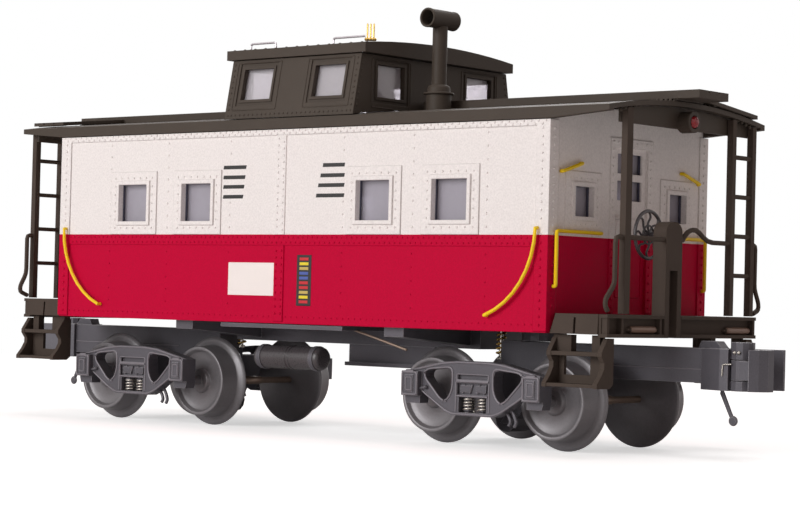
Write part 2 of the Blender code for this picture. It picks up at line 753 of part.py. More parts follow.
def running_board():
    """The lengthways board at end a, its saddles and the board to the ladder."""
    start = CUPOLA_HALF_LENGTH + 5 * GAP
    under = BOARD_TOP - BOARD_THICKNESS
    board = plate(planked(BOARD_HALF_WIDTH, BOARD_TOP, BOARD_THICKNESS),
                  (start, BOARD_END), "x")
    supports = []
    for index in range(SADDLE_COUNT):
        x = SADDLE_FIRST + index * (SADDLE_LAST - SADDLE_FIRST) / (SADDLE_COUNT - 1)
        half = BOARD_HALF_WIDTH - SADDLE_THICKNESS / 2
        supports.append(box((x - SADDLE_THICKNESS / 2, x + SADDLE_THICKNESS / 2),
                            (-half, half), (ROOF_CROWN - ROOF_RISE, under + BITE)))
    outer = ROOF_HALF_LENGTH + 2.5 * GAP
    middle = outer - LATERAL_WIDTH / 2
    near, far = BOARD_HALF_WIDTH - BITE, LATERAL_REACH
    section = planked(LATERAL_WIDTH / 2, under + LATERAL_THICKNESS, LATERAL_THICKNESS)
    lateral = loft([[(middle + u, y, v - drop) for u, v in section]
                    for y, drop in ((near, -BITE), (far, LATERAL_DROP))])
    last = far - CLEAT_INSET
    for index in range(CLEAT_COUNT):
        y = CLEAT_FIRST + (last - CLEAT_FIRST) * index / (CLEAT_COUNT - 1)
        span = (outer - LATERAL_WIDTH + SADDLE_THICKNESS, ROOF_HALF_LENGTH - GAP)
        sink = under - LATERAL_DROP * (y - near) / (far - near)
        half = SADDLE_THICKNESS / 2
        supports.append(box(span, (y - half, y + half),
                            (ROOF_CROWN - ROOF_RISE, sink + 2 * BITE)))
    trimmed = [seated_on_roof(support) for support in supports]
    return fused(board, lateral, *trimmed)


def cupola_wall_y(z):
    """Half the cupola's width at a height, on its leaning sides."""
    share = (z - CUPOLA_FOOT) / (CUPOLA_HEAD - CUPOLA_FOOT)
    return CUPOLA_FOOT_HALF_WIDTH + share * (CUPOLA_HEAD_HALF_WIDTH
                                             - CUPOLA_FOOT_HALF_WIDTH)


def tapered_block(half_length, inset, bottom, top):
    """A block whose sides lean as the cupola's do."""
    sections = []
    for z in (bottom, top):
        half = cupola_wall_y(z) - inset
        sections.append([(-half_length, -half, z), (half_length, -half, z),
                         (half_length, half, z), (-half_length, half, z)])
    return loft(sections)


def cupola_side_centres():
    height = CUPOLA_SILL + CUPOLA_SIDE_GLASS[1] / 2
    return [(sign * CUPOLA_SIDE_X, height) for sign in (-1, 1)]


def cupola_end_centres():
    height = CUPOLA_SILL + CUPOLA_END_GLASS[1] / 2
    return [(sign * CUPOLA_END_Y, height) for sign in (-1, 1)]


def cupola_walls():
    top = CUPOLA_HEAD
    walls = tapered_block(CUPOLA_HALF_LENGTH, 0.0, CUPOLA_FOOT, top)
    hollow = tapered_block(CUPOLA_HALF_LENGTH - CUPOLA_WALL, CUPOLA_WALL,
                           CUPOLA_FOOT - WALL, top + WALL)
    walls = seated_on_roof(cut(walls, hollow))
    core = tapered_block(CUPOLA_HALF_LENGTH - RELIEF, RELIEF, CUPOLA_FOOT, top)
    holes, grooves = [], []
    width = CUPOLA_FOOT_HALF_WIDTH + CUPOLA_WALL
    length = CUPOLA_HALF_LENGTH + CUPOLA_WALL
    windows = [(centre, CUPOLA_SIDE_GLASS, width, "y") for centre in cupola_side_centres()]
    windows += [(centre, CUPOLA_END_GLASS, length, "x") for centre in cupola_end_centres()]
    for centre, glass, reach, across in windows:
        holes.append(plate(around(centre, glass), (-reach, reach), across))
        rim = [side + 2 * CUPOLA_FRAME_RIM for side in glass]
        outside = [side + 2 * CUPOLA_GROOVE for side in rim]
        groove = plate(around(centre, outside), (-reach, reach), across,
                       holes=[around(centre, rim)])
        grooves.append(cut(groove, core))
    return cut(walls, *grooves, *holes)


def cupola_glass():
    """One clear band all round, inside the cupola's walls."""
    low = CUPOLA_SILL - GLASS_LAP
    high = low + CUPOLA_SIDE_GLASS[1] + 2 * GLASS_LAP
    inset = CUPOLA_WALL + GAP
    band = tapered_block(CUPOLA_HALF_LENGTH - inset, inset, low, high)
    deeper = inset + GLASS_THICKNESS
    hollow = tapered_block(CUPOLA_HALF_LENGTH - deeper, deeper, low - WALL, high + WALL)
    return cut(band, hollow)


def cupola_roof_top(y):
    crown = CUPOLA_HEAD + GAP + CUPOLA_ROOF_EDGE + CUPOLA_ROOF_RISE
    return crown - CUPOLA_ROOF_RISE * (y / CUPOLA_ROOF_HALF_WIDTH) ** 2


def cupola_roof():
    bottom = CUPOLA_HEAD + GAP
    outline = arch(CUPOLA_ROOF_HALF_WIDTH, cupola_roof_top)
    outline += [(CUPOLA_ROOF_HALF_WIDTH, bottom), (-CUPOLA_ROOF_HALF_WIDTH, bottom)]
    return plate(outline, (-CUPOLA_ROOF_HALF_LENGTH, CUPOLA_ROOF_HALF_LENGTH), "x")


def smoke_jack():
    foot = roof_top(JACK_Y + JACK_FLASHING_RADIUS)
    crown = roof_top(0.0)
    collar = crown + JACK_FLASHING_HEIGHT
    neck = collar + JACK_COLLAR_HEIGHT
    profile = [(foot, JACK_FLASHING_RADIUS), (crown, JACK_FLASHING_RADIUS),
               (collar, JACK_COLLAR_RADIUS), (neck, JACK_COLLAR_RADIUS),
               (neck + JACK_CHAMFER, JACK_RADIUS), (JACK_TOP, JACK_RADIUS)]
    pipe = turned(profile, "z", (JACK_X, -JACK_Y, 0.0))
    half = JACK_HEAD_HALF_LENGTH
    head = turned([(-half, JACK_HEAD_RADIUS), (half, JACK_HEAD_RADIUS)], "y",
                  (JACK_X, -JACK_Y, JACK_TOP))
    mouth = turned([(-2 * half, JACK_HEAD_BORE), (-half / 2, JACK_HEAD_BORE)], "y",
                   (JACK_X, -JACK_Y, JACK_TOP))
    return cut(fused(seated_on_roof(pipe), head), mouth)


def antenna():
    """Three upright prongs on a small round foot."""
    seat = cupola_roof_top(ANTENNA_Y - ANTENNA_FOOT_RADIUS) + GAP
    shape = cylinder(ANTENNA_FOOT_RADIUS, (seat, seat + SHEET), "z",
                     (ANTENNA_X, -ANTENNA_Y, 0.0), 10)
    prongs = []
    for index in (-1, 0, 1):
        place = (ANTENNA_X + index * ANTENNA_PITCH, -ANTENNA_Y, 0.0)
        prongs.append(cylinder(FINE_WIRE_RADIUS, (seat + BITE, seat + ANTENNA_HEIGHT),
                               "z", place, WIRE_SIDES))
    return fused(shape, *prongs)


def cupola_rail(x, y):
    """A low wire rail lengthways on the cupola's roof."""
    foot = cupola_roof_top(abs(y) - FINE_WIRE_RADIUS) + GAP
    top = foot + RAIL_RISE
    path = [(x[0], y, foot), (x[0], y, top), (x[1], y, top), (x[1], y, foot)]
    return wire(bent(path, 2 * FINE_WIRE_RADIUS), FINE_WIRE_RADIUS)


# End platform

def platform():
    """Deck and channel-shaped end beam of end a, notched for the brake stand."""
    back = BODY_HALF_LENGTH + RELIEF + GAP
    web = BEAM_FACE - BEAM_DEPTH
    outline = [(-DECK_HALF_WIDTH, DECK_TOP), (-DECK_HALF_WIDTH - DECK_FLARE, DECK_BOTTOM),
               (DECK_HALF_WIDTH + DECK_FLARE, DECK_BOTTOM), (DECK_HALF_WIDTH, DECK_TOP)]
    deck = plate(outline, (back, web + BITE), "x")
    hollow = box((back + WALL, web - WALL),
                 (-STEP_INNER_Y + WALL, STEP_INNER_Y - WALL),
                 (DECK_BOTTOM - WALL, DECK_TOP - SHEET))
    grooves = [box((DECK_GROOVE_X - DECK_GROOVE / 2, DECK_GROOVE_X + DECK_GROOVE / 2),
                   (side * (DECK_HALF_WIDTH - DECK_GROOVE), side * (BODY_HALF_WIDTH + WALL)),
                   (DECK_BOTTOM - WALL, DECK_TOP - SHEET)) for side in (-1, 1)]
    wedge = [(back, DECK_BOTTOM), (back + DECK_CHAMFER, DECK_TOP + BITE),
             (back - BITE, DECK_TOP + BITE)]
    grooves += [plate(wedge, (side * (DECK_HALF_WIDTH - WALL), side * (BODY_HALF_WIDTH + WALL)),
                      "y") for side in (-1, 1)]
    channel = [(web, BEAM_BOTTOM), (BEAM_FACE, BEAM_BOTTOM),
               (BEAM_FACE, BEAM_BOTTOM + SHEET), (web + SHEET, BEAM_BOTTOM + SHEET),
               (web + SHEET, DECK_TOP - SHEET), (BEAM_FACE, DECK_TOP - SHEET),
               (BEAM_FACE, DECK_TOP), (web, DECK_TOP)]
    beam = plate(channel, (BITE - BEAM_HALF_WIDTH, BEAM_HALF_WIDTH - BITE), "y")
    gussets = []
    depth = (web + SHEET / 2, BEAM_FACE - GAP)
    height = (BEAM_BOTTOM + SHEET / 2, DECK_TOP - SHEET / 2)
    for y in (-BEAM_HALF_WIDTH + SHEET, -CORNER_POST_Y[1], STAND_Y[0] - 1.5 * SHEET,
              BEAM_HALF_WIDTH - SHEET):
        gussets.append(box(depth, (y - SHEET / 2, y + SHEET / 2), height))
    bars = []
    level = DECK_TOP - BEAM_BAR_DROP
    for y in BEAM_BAR_Y:
        front = BEAM_FACE - 2 * RAIL_RADIUS
        path = [(web, y - BEAM_BAR_HALF, level), (front, y - BEAM_BAR_HALF, level),
                (front, y + BEAM_BAR_HALF, level), (web, y + BEAM_BAR_HALF, level)]
        bars.append(wire(bent(path, BEND, 1), RAIL_RADIUS))
    stand = box((STAND_X[0] - GAP, STAND_X[1] + WALL),
                (STAND_Y[0] - GAP, STAND_Y[1] + GAP), (0.0, 2 * DECK_TOP))
    body = fused(cut(deck, hollow, *grooves), beam, *gussets, *bars)
    return cut(body, stand)


def steps():
    """The pair of treads on the -Y side of end a, between two waved cheeks."""
    low, high = TREAD_HEIGHTS
    lower, upper = STEP_NOSES_Y
    under, top = low - TREAD_THICKNESS, BEAM_BOTTOM - GAP
    neck = (STEP_NECK_Y + upper) / 2
    side = [(-STEP_INNER_Y, top), (-STEP_NECK_Y, top), (-upper, high),
            (-upper, high - TREAD_THICKNESS), (-neck, (2 * high + low) / 3),
            (-neck, (high + low) / 2), (-upper, (high + 3 * low) / 4),
            (-lower, low), (-lower, under), (-STEP_RISER_Y, under),
            (-STEP_INNER_Y, low)]
    first = plate(side, (STEP_X[0], STEP_X[0] + STEP_PLATE), "x")
    parts = [plate(side, (STEP_X[1] - STEP_PLATE, STEP_X[1]), "x")]
    span = (STEP_X[0] + STEP_PLATE / 2, STEP_X[1] - STEP_PLATE / 2)
    parts.append(box(span, (TREAD_THICKNESS - STEP_RISER_Y, BITE - lower),
                     (under + BITE, low)))
    parts.append(box(span, (-STEP_INNER_Y - BITE, BITE - upper),
                     (high - TREAD_THICKNESS, high)))
    middle = (span[0] + DECK_GROOVE_X) / 2 + 2 * STEP_PLATE
    hole = around((middle, (low + high) / 2 + STEP_HOLE_RISE), STEP_HOLE)
    riser = plate(rectangle(span, (low - BITE, high - BITE)),
                  (-STEP_RISER_Y, TREAD_THICKNESS - STEP_RISER_Y), "y", holes=[hole])
    parts.append(riser)
    web = BEAM_FACE - BEAM_DEPTH - GAP
    first_hanger, last_hanger = STEP_HANGERS
    for x in ((STEP_X[0] + BITE, STEP_X[0] + first_hanger), (web - last_hanger, web)):
        parts.append(box(x, (-STEP_INNER_Y - 2 * BITE, BITE - STEP_NECK_Y),
                         (high - BITE, DECK_BOTTOM - GAP)))
    return fused(first, *parts)


def corner_post():
    """Post, end rail and bowed handrail on the -Y side of end a."""
    inner, outer = CORNER_POST_Y
    top = roof_under(outer) - GAP
    post = box(POST_X, (-outer, -inner), (DECK_TOP + GAP, top))
    x = (POST_X[0] + POST_X[1]) / 2
    rail = wire([(x, -inner - BITE, RAIL_HEIGHT), (x, STAND_Y[0] - GAP, RAIL_HEIGHT)],
                RAIL_RADIUS)
    return fused(post, rail, bowed_handrail(x, outer, POST_HANDRAIL_Y, -1))


def bowed_handrail(x, start, reach, side):
    """A handrail that leaves an upright, drops, bows outwards and ends on the deck.

    reach gives its distance from the car's middle at the drop, the bow and the end.
    """
    drop, bow, end = reach
    bend = RAIL_HEIGHT - HANDRAIL_BEND
    line = [(start - 2 * BITE, RAIL_HEIGHT), (drop, RAIL_HEIGHT), (drop, bend),
            (bow, bend - HANDRAIL_BOW), (bow, DECK_TOP + 3 * RAIL_RADIUS),
            (end, DECK_TOP + RAIL_RADIUS + GAP)]
    path = [(x, side * y, z) for y, z in line]
    return wire(bent(path, 2 * RAIL_RADIUS), RAIL_RADIUS)


def ladder():
    """Two stiles, rungs, bowed handrail and the waved end rail of end a."""
    x = (POST_X[0] + POST_X[1]) / 2
    stiles = [box(POST_X, span, (DECK_TOP + GAP, roof_under(span[1]) - GAP))
              for span in STILE_Y]
    parts = [stiles[1]]
    for index in range(RUNG_COUNT):
        z = RUNG_TOP - index * RUNG_PITCH
        parts.append(cylinder(RAIL_RADIUS, (LADDER_Y[0] + BITE, LADDER_Y[1] - BITE),
                              "y", (x, 0.0, z), WIRE_SIDES))
    parts.append(bowed_handrail(x, LADDER_Y[1], LADDER_HANDRAIL_Y, 1))
    start, end = STAND_Y[1] + GAP, LADDER_Y[0] + BITE
    wave = [(x, start + (end - start) * share, RAIL_HEIGHT + RAIL_WAVE * rise)
            for share, rise in ((0.0, 0.0), (0.04, 0.0), (0.15, 0.8), (0.32, 1.0),
                                (0.56, 0.0), (1.0, 0.0))]
    parts.append(wire(bent(wave, RAIL_WAVE_BEND), RAIL_RADIUS))
    return fused(stiles[0], *parts)


def end_arch():
    """The plate under the roof's end, with the marker lamp's round housing."""
    low, high = -CORNER_POST_Y[1], LADDER_Y[1]
    values = [low + (high - low) * step / ARCH_STEPS for step in range(ARCH_STEPS + 1)]
    outline = [(y, roof_under(y) - GAP) for y in values]
    outline += [(high, ARCH_PLATE_BOTTOM), (low, ARCH_PLATE_BOTTOM)]
    plate_part = plate(outline, ARCH_PLATE_X, "x")
    profile = [(ARCH_PLATE_X[1] - BITE, LAMP_RADIUS), (LAMP_FRONT, LAMP_RADIUS),
               (LAMP_FRONT, LENS_RADIUS + GAP), (LAMP_FRONT - SHEET, LENS_RADIUS + GAP)]
    lamp = turned(profile, "x", (0.0, 0.0, LAMP_HEIGHT))
    return fused(plate_part, lamp)


def marker_lens():
    profile = [(LAMP_FRONT - SHEET + GAP, LENS_RADIUS), (LAMP_FRONT, LENS_RADIUS)]
    for angle in (35, 65):
        profile.append((LAMP_FRONT + LENS_CROWN * math.sin(math.radians(angle)),
                        LENS_RADIUS * math.cos(math.radians(angle))))
    profile.append((LAMP_FRONT + LENS_CROWN, 0.0))
    return turned(profile, "x", (0.0, 0.0, LAMP_HEIGHT), 12)


def brake_stand():
    """The upright housing of the hand brake, with an arched head and a slot."""
    middle = (STAND_Y[0] + STAND_Y[1]) / 2
    half = (STAND_Y[1] - STAND_Y[0]) / 2
    outline = [(STAND_Y[0], BEAM_BOTTOM), (STAND_Y[1], BEAM_BOTTOM)]
    for step in range(9):
        angle = math.pi * step / 8
        outline.append((middle + half * math.cos(angle),
                        STAND_TOP - STAND_HEAD_RISE * (1 - math.sin(angle))))
    housing = plate(outline, STAND_X, "x")
    slot = box((STAND_X[0] + WALL, STAND_X[1] + WALL), STAND_SLOT_Y,
               (0.0, STAND_SLOT_TOP))
    return cut(housing, slot)


def brake_wheel():
    """The spoked hand wheel and its shaft into the brake stand."""
    y = (STAND_Y[0] + STAND_Y[1]) / 2
    centre = Vector((BRAKE_WHEEL_X, y, BRAKE_WHEEL_Z))
    reach = BRAKE_WHEEL_RADIUS - WIRE_RADIUS
    rim = turned([(-WIRE_RADIUS, reach - WIRE_RADIUS), (-WIRE_RADIUS, reach + WIRE_RADIUS),
                  (WIRE_RADIUS, reach + WIRE_RADIUS), (WIRE_RADIUS, reach - WIRE_RADIUS)],
                 "x", centre, WHEEL_SEGMENTS, ring_shape=True)
    hub = cylinder(BRAKE_HUB_RADIUS,
                   (-BRAKE_HUB_PROUD, STAND_X[0] - GAP - BRAKE_WHEEL_X), "x", centre, 10)
    spokes = []
    for index in range(SPOKES):
        angle = 2 * math.pi * (index + 0.5) / SPOKES
        ray = Vector((0.0, math.cos(angle), math.sin(angle)))
        spokes.append(wire([centre + ray * BRAKE_HUB_RADIUS / 2, centre + ray * reach],
                           FINE_WIRE_RADIUS, 4))
    return fused(hub, rim, *spokes)


# Grab irons

def side_grab(along, side):
    """The curved iron low on the side, near the end that along points to."""
    wall = side * (BODY_HALF_WIDTH + RELIEF + GAP)
    y = side * (BODY_HALF_WIDTH + RELIEF + GRAB_OFF)
    arc = []
    for step in range(9):
        angle = math.radians(SIDE_GRAB_SWEEP * step / 8)
        x = SIDE_GRAB_X - SIDE_GRAB_RADIUS * (1 - math.cos(angle))
        arc.append((along * x, SIDE_GRAB_TOP - SIDE_GRAB_RADIUS * math.sin(angle)))
    path = [(arc[0][0], wall, arc[0][1])]
    path += [(x, y, z) for x, z in arc]
    low = side * (BODY_HALF_WIDTH + GAP)
    path.append((arc[-1][0], low, arc[-1][1]))
    return wire(path, WIRE_RADIUS)


def end_grab(side):
    """The angled iron beside the door of end a: along, then down."""
    wall = BODY_HALF_LENGTH + GAP
    x = BODY_HALF_LENGTH + RELIEF + GRAB_OFF
    near, far = (side * value for value in END_GRAB_Y)
    low, high = END_GRAB_Z
    path = [(wall, near, high), (x, near, high), (x, far, high), (x, far, low),
            (wall + RELIEF, far, low)]
    return wire(bent(path, GRAB_BEND), WIRE_RADIUS)


def high_grab(side):
    """The short sloping iron above an end window of end a."""
    wall = BODY_HALF_LENGTH + GAP
    x = BODY_HALF_LENGTH + GRAB_OFF
    (near, far), (high, low) = HIGH_GRAB_Y, HIGH_GRAB_Z
    path = [(wall, side * near, high), (x, side * near, high),
            (x, side * far, low), (wall, side * far, low)]
    return wire(bent(path, GRAB_BEND), WIRE_RADIUS)


# Underframe

def underframe():
    """Floor inside the shell, centre sill with its deep part, crossbearers, truck pads."""
    top = BODY_BOTTOM - GAP
    bottom = top - FLOOR_THICKNESS
    ceiling = BODY_BOTTOM + FLOOR_THICKNESS
    length, width = BODY_HALF_LENGTH - WALL - GAP, BODY_HALF_WIDTH - WALL - GAP
    floor = box((-length, length), (-width, width), (BODY_BOTTOM, ceiling))
    edge, outside = FLOOR_EDGE_LENGTH, BODY_HALF_WIDTH - GAP
    inner, buried = width - BITE, ceiling - BITE
    parts = [box((-edge, edge), (-outside, outside), (bottom, top)),
             box((BITE - edge, edge - BITE), (-inner, inner), (bottom + BITE, buried)),
             box((-SILL_HALF_LENGTH, SILL_HALF_LENGTH),
                 (-SILL_HALF_WIDTH, SILL_HALF_WIDTH), (SILL_BOTTOM, buried - BITE))]
    half = SILL_HALF_WIDTH - BITE
    parts.append(box(DEEP_SILL_X, (-half, half), (DEEP_SILL_BOTTOM, buried - 2 * BITE)))
    half = SILL_HALF_WIDTH + SILL_FLANGE
    parts.append(box(DEEP_SILL_X, (-half, half),
                     (DEEP_SILL_BOTTOM - BITE, DEEP_SILL_BOTTOM + SHEET)))
    for end in (-1, 1):
        parts.append(cylinder(PAD_RADIUS, (ARM_Z[1] + GAP, buried), "z",
                              (end * TRUCK_X, 0.0, 0.0)))
        x = end * (SILL_HALF_LENGTH - 2 * CROSSBEARER_HALF)
        root = SILL_HALF_WIDTH - BITE
        for side in (-1, 1):
            bearer = [(side * root, SILL_BOTTOM + SHEET),
                      (side * inner, BODY_BOTTOM - CROSSBEARER_DROP),
                      (side * inner, buried), (side * root, buried)]
            parts.append(plate(bearer, (x - CROSSBEARER_HALF, x + CROSSBEARER_HALF), "x"))
    return fused(floor, *parts)


def air_reservoir():
    """The long tank on the -Y side, in two flat hangers."""
    low, high = TANK_X
    middle = (low + high) / 2
    band = TANK_RADIUS + TANK_BAND
    profile = [(low, TANK_RADIUS - TANK_LIP), (low + TANK_LIP, TANK_RADIUS),
               (middle - TANK_LIP, TANK_RADIUS), (middle - TANK_LIP, band),
               (middle + TANK_LIP, band), (middle + TANK_LIP, TANK_RADIUS),
               (high - TANK_LIP, TANK_RADIUS), (high, TANK_RADIUS - TANK_LIP)]
    tank = turned(profile, "x", (0.0, -TANK_Y, TANK_Z))
    top = BODY_BOTTOM - 2 * GAP - FLOOR_THICKNESS
    hangers = []
    for x in (low + HANGER_INSET, high - HANGER_INSET):
        outline = rectangle((-TANK_Y - HANGER_HALF_WIDTH, HANGER_HALF_WIDTH - TANK_Y),
                            (TANK_Z, top))
        span = (x - HANGER_THICKNESS / 2, x + HANGER_THICKNESS / 2)
        hangers.append(plate(outline, span, "x"))
    return fused(tank, *hangers)


# Trucks, built about their pivots and placed by empties

def side_frame():
    """The -Y side frame: a cast truss with springs, chair and journal boxes."""
    inner, outer = -FRAME_Y[0], -FRAME_Y[1]
    axle = FLANGE_RADIUS
    foot, crown = axle - FRAME_FOOT, axle + FRAME_CROWN
    near, far = AXLE_X - PEDESTAL_HALF, AXLE_X + PEDESTAL_HALF
    end = AXLE_X + JOURNAL_SIZE[0] / 2
    shoulder = axle + JOURNAL_RISE + JOURNAL_SIZE[1] / 2
    truss = TRUSS_WIDTH
    edge = [(COLUMN_X, foot), (COLUMN_X + 1.6 * truss, foot + 0.7 * truss),
            (near - 0.6 * truss, axle + truss), (near, axle + 0.7 * truss),
            (near, axle - PEDESTAL_DROP), (far, axle - PEDESTAL_DROP),
            (end, axle - PEDESTAL_DROP / 3), (end, shoulder),
            (COLUMN_X + 2 * truss, crown - 0.25 * truss), (COLUMN_X - truss, crown)]
    outline = edge + [(-u, v) for u, v in reversed(edge)]
    outside = near - 0.9 * truss
    opening = [(COLUMN_X, crown - 1.15 * truss), (outside - 0.4 * truss, crown - 1.6 * truss),
               (outside, crown - 2.6 * truss), (COLUMN_X + 2 * truss, foot + 2.3 * truss),
               (COLUMN_X + truss, foot + 2.3 * truss), (COLUMN_X, foot + 4 * truss)]
    holes = [rounded(opening, truss, 2),
             rounded([(-u, v) for u, v in opening], truss, 2)]
    half, height = SPRING_WINDOW
    sill = foot + truss / 2
    frame = plate(outline, (inner, outer), "y",
                  holes=[*holes, rectangle((-half, half), (sill, sill + height))])
    chair = sill + height + truss / 3
    chord = chair + CHAIR_WINDOW[1] + truss / 2
    recess = (outer - WALL, outer + SHEET)
    sunk = [plate(rectangle((-half, half), (low, low + height)), recess, "y")
            for (half, height), low in ((CHAIR_WINDOW, chair), (CHORD_SLOT, chord))]
    parts = []
    for sign in (-1, 1):
        parts.append(spring(sign * SPRING_X, (inner + outer) / 2, sill, sill + height))
        block = around((sign * CHAIR_WINDOW[0] / 2, chair + CHAIR_WINDOW[1] / 2), CHAIR_BLOCK)
        parts.append(plate(block, (outer + SHEET + BITE, outer + SHEET / 3), "y"))
        centre = (sign * AXLE_X, axle + JOURNAL_RISE)
        lid = outer - JOURNAL_PROUD
        parts.append(plate(around(centre, JOURNAL_SIZE), (outer + BITE, lid), "y"))
        parts.append(plate(around(centre, LID_SIZE), (lid + BITE, lid - RELIEF), "y"))
    sockets = []
    for sign in (-1, 1):
        depth = (inner + BITE, inner - STUB_DEPTH - GAP)
        sockets.append(cylinder(STUB_RADIUS + RUNNING, depth, "y",
                                (sign * AXLE_X, 0.0, axle), 12))
    return cut(fused(cut(frame, *sunk), *parts), *sockets)


def spring(x, y, low, high):
    """A column of rounded coils between two heights."""
    core, pitch = SPRING_RADIUS / 2, (high - low) / SPRING_COILS
    profile = [(low - BITE, core)]
    for coil in range(SPRING_COILS):
        start = low + coil * pitch
        profile += [(start + 0.15 * pitch, SPRING_RADIUS * 0.8),
                    (start + 0.5 * pitch, SPRING_RADIUS),
                    (start + 0.85 * pitch, SPRING_RADIUS * 0.8)]
    profile.append((high + BITE, core))
    return turned(profile, "z", (x, y, 0.0), 6)


def coupler_frame():
    """Bolster, drawbar, coupler head, pickup roller and release pin of one truck."""
    half = FRAME_Y[0] - GAP
    bolster = box((-BOLSTER_HALF_LENGTH, BOLSTER_HALF_LENGTH), (-half, half), BOLSTER_Z)
    low, high = HEAD_Z
    throat = KNUCKLE_X - THROAT
    flank = KNUCKLE_Y - KNUCKLE_HUB
    tip = KNUCKLE_X + GUARD_REACH
    inside, outside = GUARD_Y
    head = [(HEAD_X, -HEAD_HALF_WIDTH), (throat - THROAT, flank), (throat, flank),
            (throat, HEAD_HALF_WIDTH - THROAT), (KNUCKLE_X, inside - THROAT / 2),
            (tip, inside), (tip, outside - SHEET), (tip - SHEET, outside),
            (throat + THROAT / 2, outside), (HEAD_X + THROAT, HEAD_HALF_WIDTH + SHEET),
            (HEAD_X, HEAD_HALF_WIDTH)]
    pin = (KNUCKLE_X, KNUCKLE_Y, 0.0)
    parts = [box((ARM_BACK_X, HEAD_X + BITE), (-ARM_HALF_WIDTH, ARM_HALF_WIDTH), ARM_Z),
             plate(head, (low, high), "z"),
             cylinder(KNUCKLE_HUB, (low, low + LUG_THICKNESS), "z", pin, 12),
             cylinder(KNUCKLE_HUB, (high - LUG_THICKNESS, high + BOSS_HEIGHT), "z", pin, 12)]
    rear = HEAD_X - 2 * BOSS_HEIGHT
    wedge = [(rear, ARM_Z[1] - BITE), (rear + BOSS_HEIGHT / 2, high + BOSS_HEIGHT),
             (HEAD_X + BOSS_HEIGHT, high + BOSS_HEIGHT), (HEAD_X + 2 * BOSS_HEIGHT, high - BITE)]
    parts.append(plate(wedge, (-BOSS_HEIGHT, BOSS_HEIGHT), "y"))
    parts += pickup()
    run, drop = RELEASE_PIN
    foot = (HEAD_X + run + THROAT, 0.0, low - drop)
    parts.append(wire([(HEAD_X + THROAT, 0.0, low + BITE), foot], WIRE_RADIUS))
    parts.append(cylinder(2 * WIRE_RADIUS, (-WIRE_RADIUS, WIRE_RADIUS), "y", foot, 8))
    pocket = cylinder(KNUCKLE_HUB + GAP, (low + LUG_THICKNESS, high - LUG_THICKNESS),
                      "z", pin, 12)
    return cut(fused(bolster, *parts), pocket)


def pickup():
    """The centre-rail roller and the bracket that carries it below the bolster."""
    axle = FLANGE_HEIGHT + PICKUP_RADIUS + GAP
    half = PICKUP_HALF_WIDTH
    parts = [cylinder(PICKUP_RADIUS, (-half, half), "y", (PICKUP_X, 0.0, axle), 12)]
    for side in (-1, 1):
        arm = [(PICKUP_X - PICKUP_ARM / 2, axle - PICKUP_ARM / 2),
               (PICKUP_X + PICKUP_ARM / 2, axle - PICKUP_ARM / 2),
               (BOLSTER_HALF_LENGTH - PICKUP_ARM, BOLSTER_Z[0] + BITE),
               (PICKUP_ARM / 4 - BOLSTER_HALF_LENGTH, BOLSTER_Z[0] + BITE)]
        parts.append(plate(arm, (side * (half - BITE), side * (half + SHEET)), "y"))
    return parts


def knuckle():
    """The hooked jaw: its hub turns between the lugs, its nose is as tall as the head."""
    low, high = HEAD_Z
    seat = (low + LUG_THICKNESS + GAP, high - LUG_THICKNESS - GAP)
    x, y, thick = KNUCKLE_X, KNUCKLE_Y, HOOK_THICKNESS
    reach, clear = x + HOOK_REACH, x + KNUCKLE_HUB + 2 * GAP
    arm = [(x, y - KNUCKLE_HUB + BITE), (clear + BITE, y - KNUCKLE_HUB + BITE),
           (clear + BITE, y + thick / 2), (x, y + KNUCKLE_HUB / 2)]
    nose = [(clear, y - KNUCKLE_HUB), (reach - thick / 2, y - KNUCKLE_HUB / 2),
            (reach, y + thick / 4), (reach, HOOK_TIP_Y - thick / 4),
            (reach - thick / 3, HOOK_TIP_Y), (reach - thick, HOOK_TIP_Y - SHEET),
            (reach - thick, y + thick / 2), (clear, y + thick / 2 + BITE)]
    hub = cylinder(KNUCKLE_HUB, seat, "z", (x, y, 0.0), 12)
    inset = (seat[0] + BITE, seat[1] - BITE)
    return fused(hub, plate(arm, inset, "z"), plate(nose, HEAD_Z, "z"))


def wheelset():
    """Two flanged wheels with dished faces on one axle."""
    face = WHEEL_FACE_Y
    back = face - WHEEL_WIDTH
    half = [(back, AXLE_RADIUS), (back, FLANGE_RADIUS - RELIEF),
            (back + FLANGE_WIDTH / 2, FLANGE_RADIUS),
            (back + FLANGE_WIDTH, TREAD_RADIUS + RELIEF), (face, TREAD_RADIUS - RELIEF),
            (face, TREAD_RADIUS - RIM_DEPTH), (face - DISH, TREAD_RADIUS - 2 * RIM_DEPTH),
            (face - DISH, HUB_RADIUS + RELIEF), (face - RELIEF, HUB_RADIUS),
            (face - RELIEF, STUB_RADIUS), (FRAME_Y[0] + STUB_DEPTH, STUB_RADIUS)]
    profile = [(-along, radius) for along, radius in reversed(half)] + half
    return turned(profile, "y", segments=WHEEL_SEGMENTS)


def truck(letter, angle):
    """One truck: its side frames, coupler and knuckle turn together on the pivot."""
    side = -1 if angle else 1
    pivot = bpy.data.objects.new("truck_pivot_" + letter, None)
    bpy.context.scene.collection.objects.link(pivot)
    pivot.location = (side * TRUCK_X, 0.0, 0.0)
    pivot.rotation_euler = (0.0, 0.0, angle)
    frame = side_frame()
    node("side_frame_right_" + letter, frame, "cast", pivot, round_angle=40)
    node("side_frame_left_" + letter, turned_round(frame), "cast", pivot, round_angle=40)
    node("coupler_" + letter, coupler_frame(), "cast", pivot, round_angle=40)
    node("knuckle_" + letter, knuckle(), "cast", pivot, (KNUCKLE_X, KNUCKLE_Y, 0.0), 40)
    wheels = wheelset()
    for name, x in (("inner", -AXLE_X), ("outer", AXLE_X)):
        item = node(f"wheelset_{name}_{letter}", wheels, "wheel", pivot, round_angle=35)
        item.location = (x, 0.0, FLANGE_RADIUS)


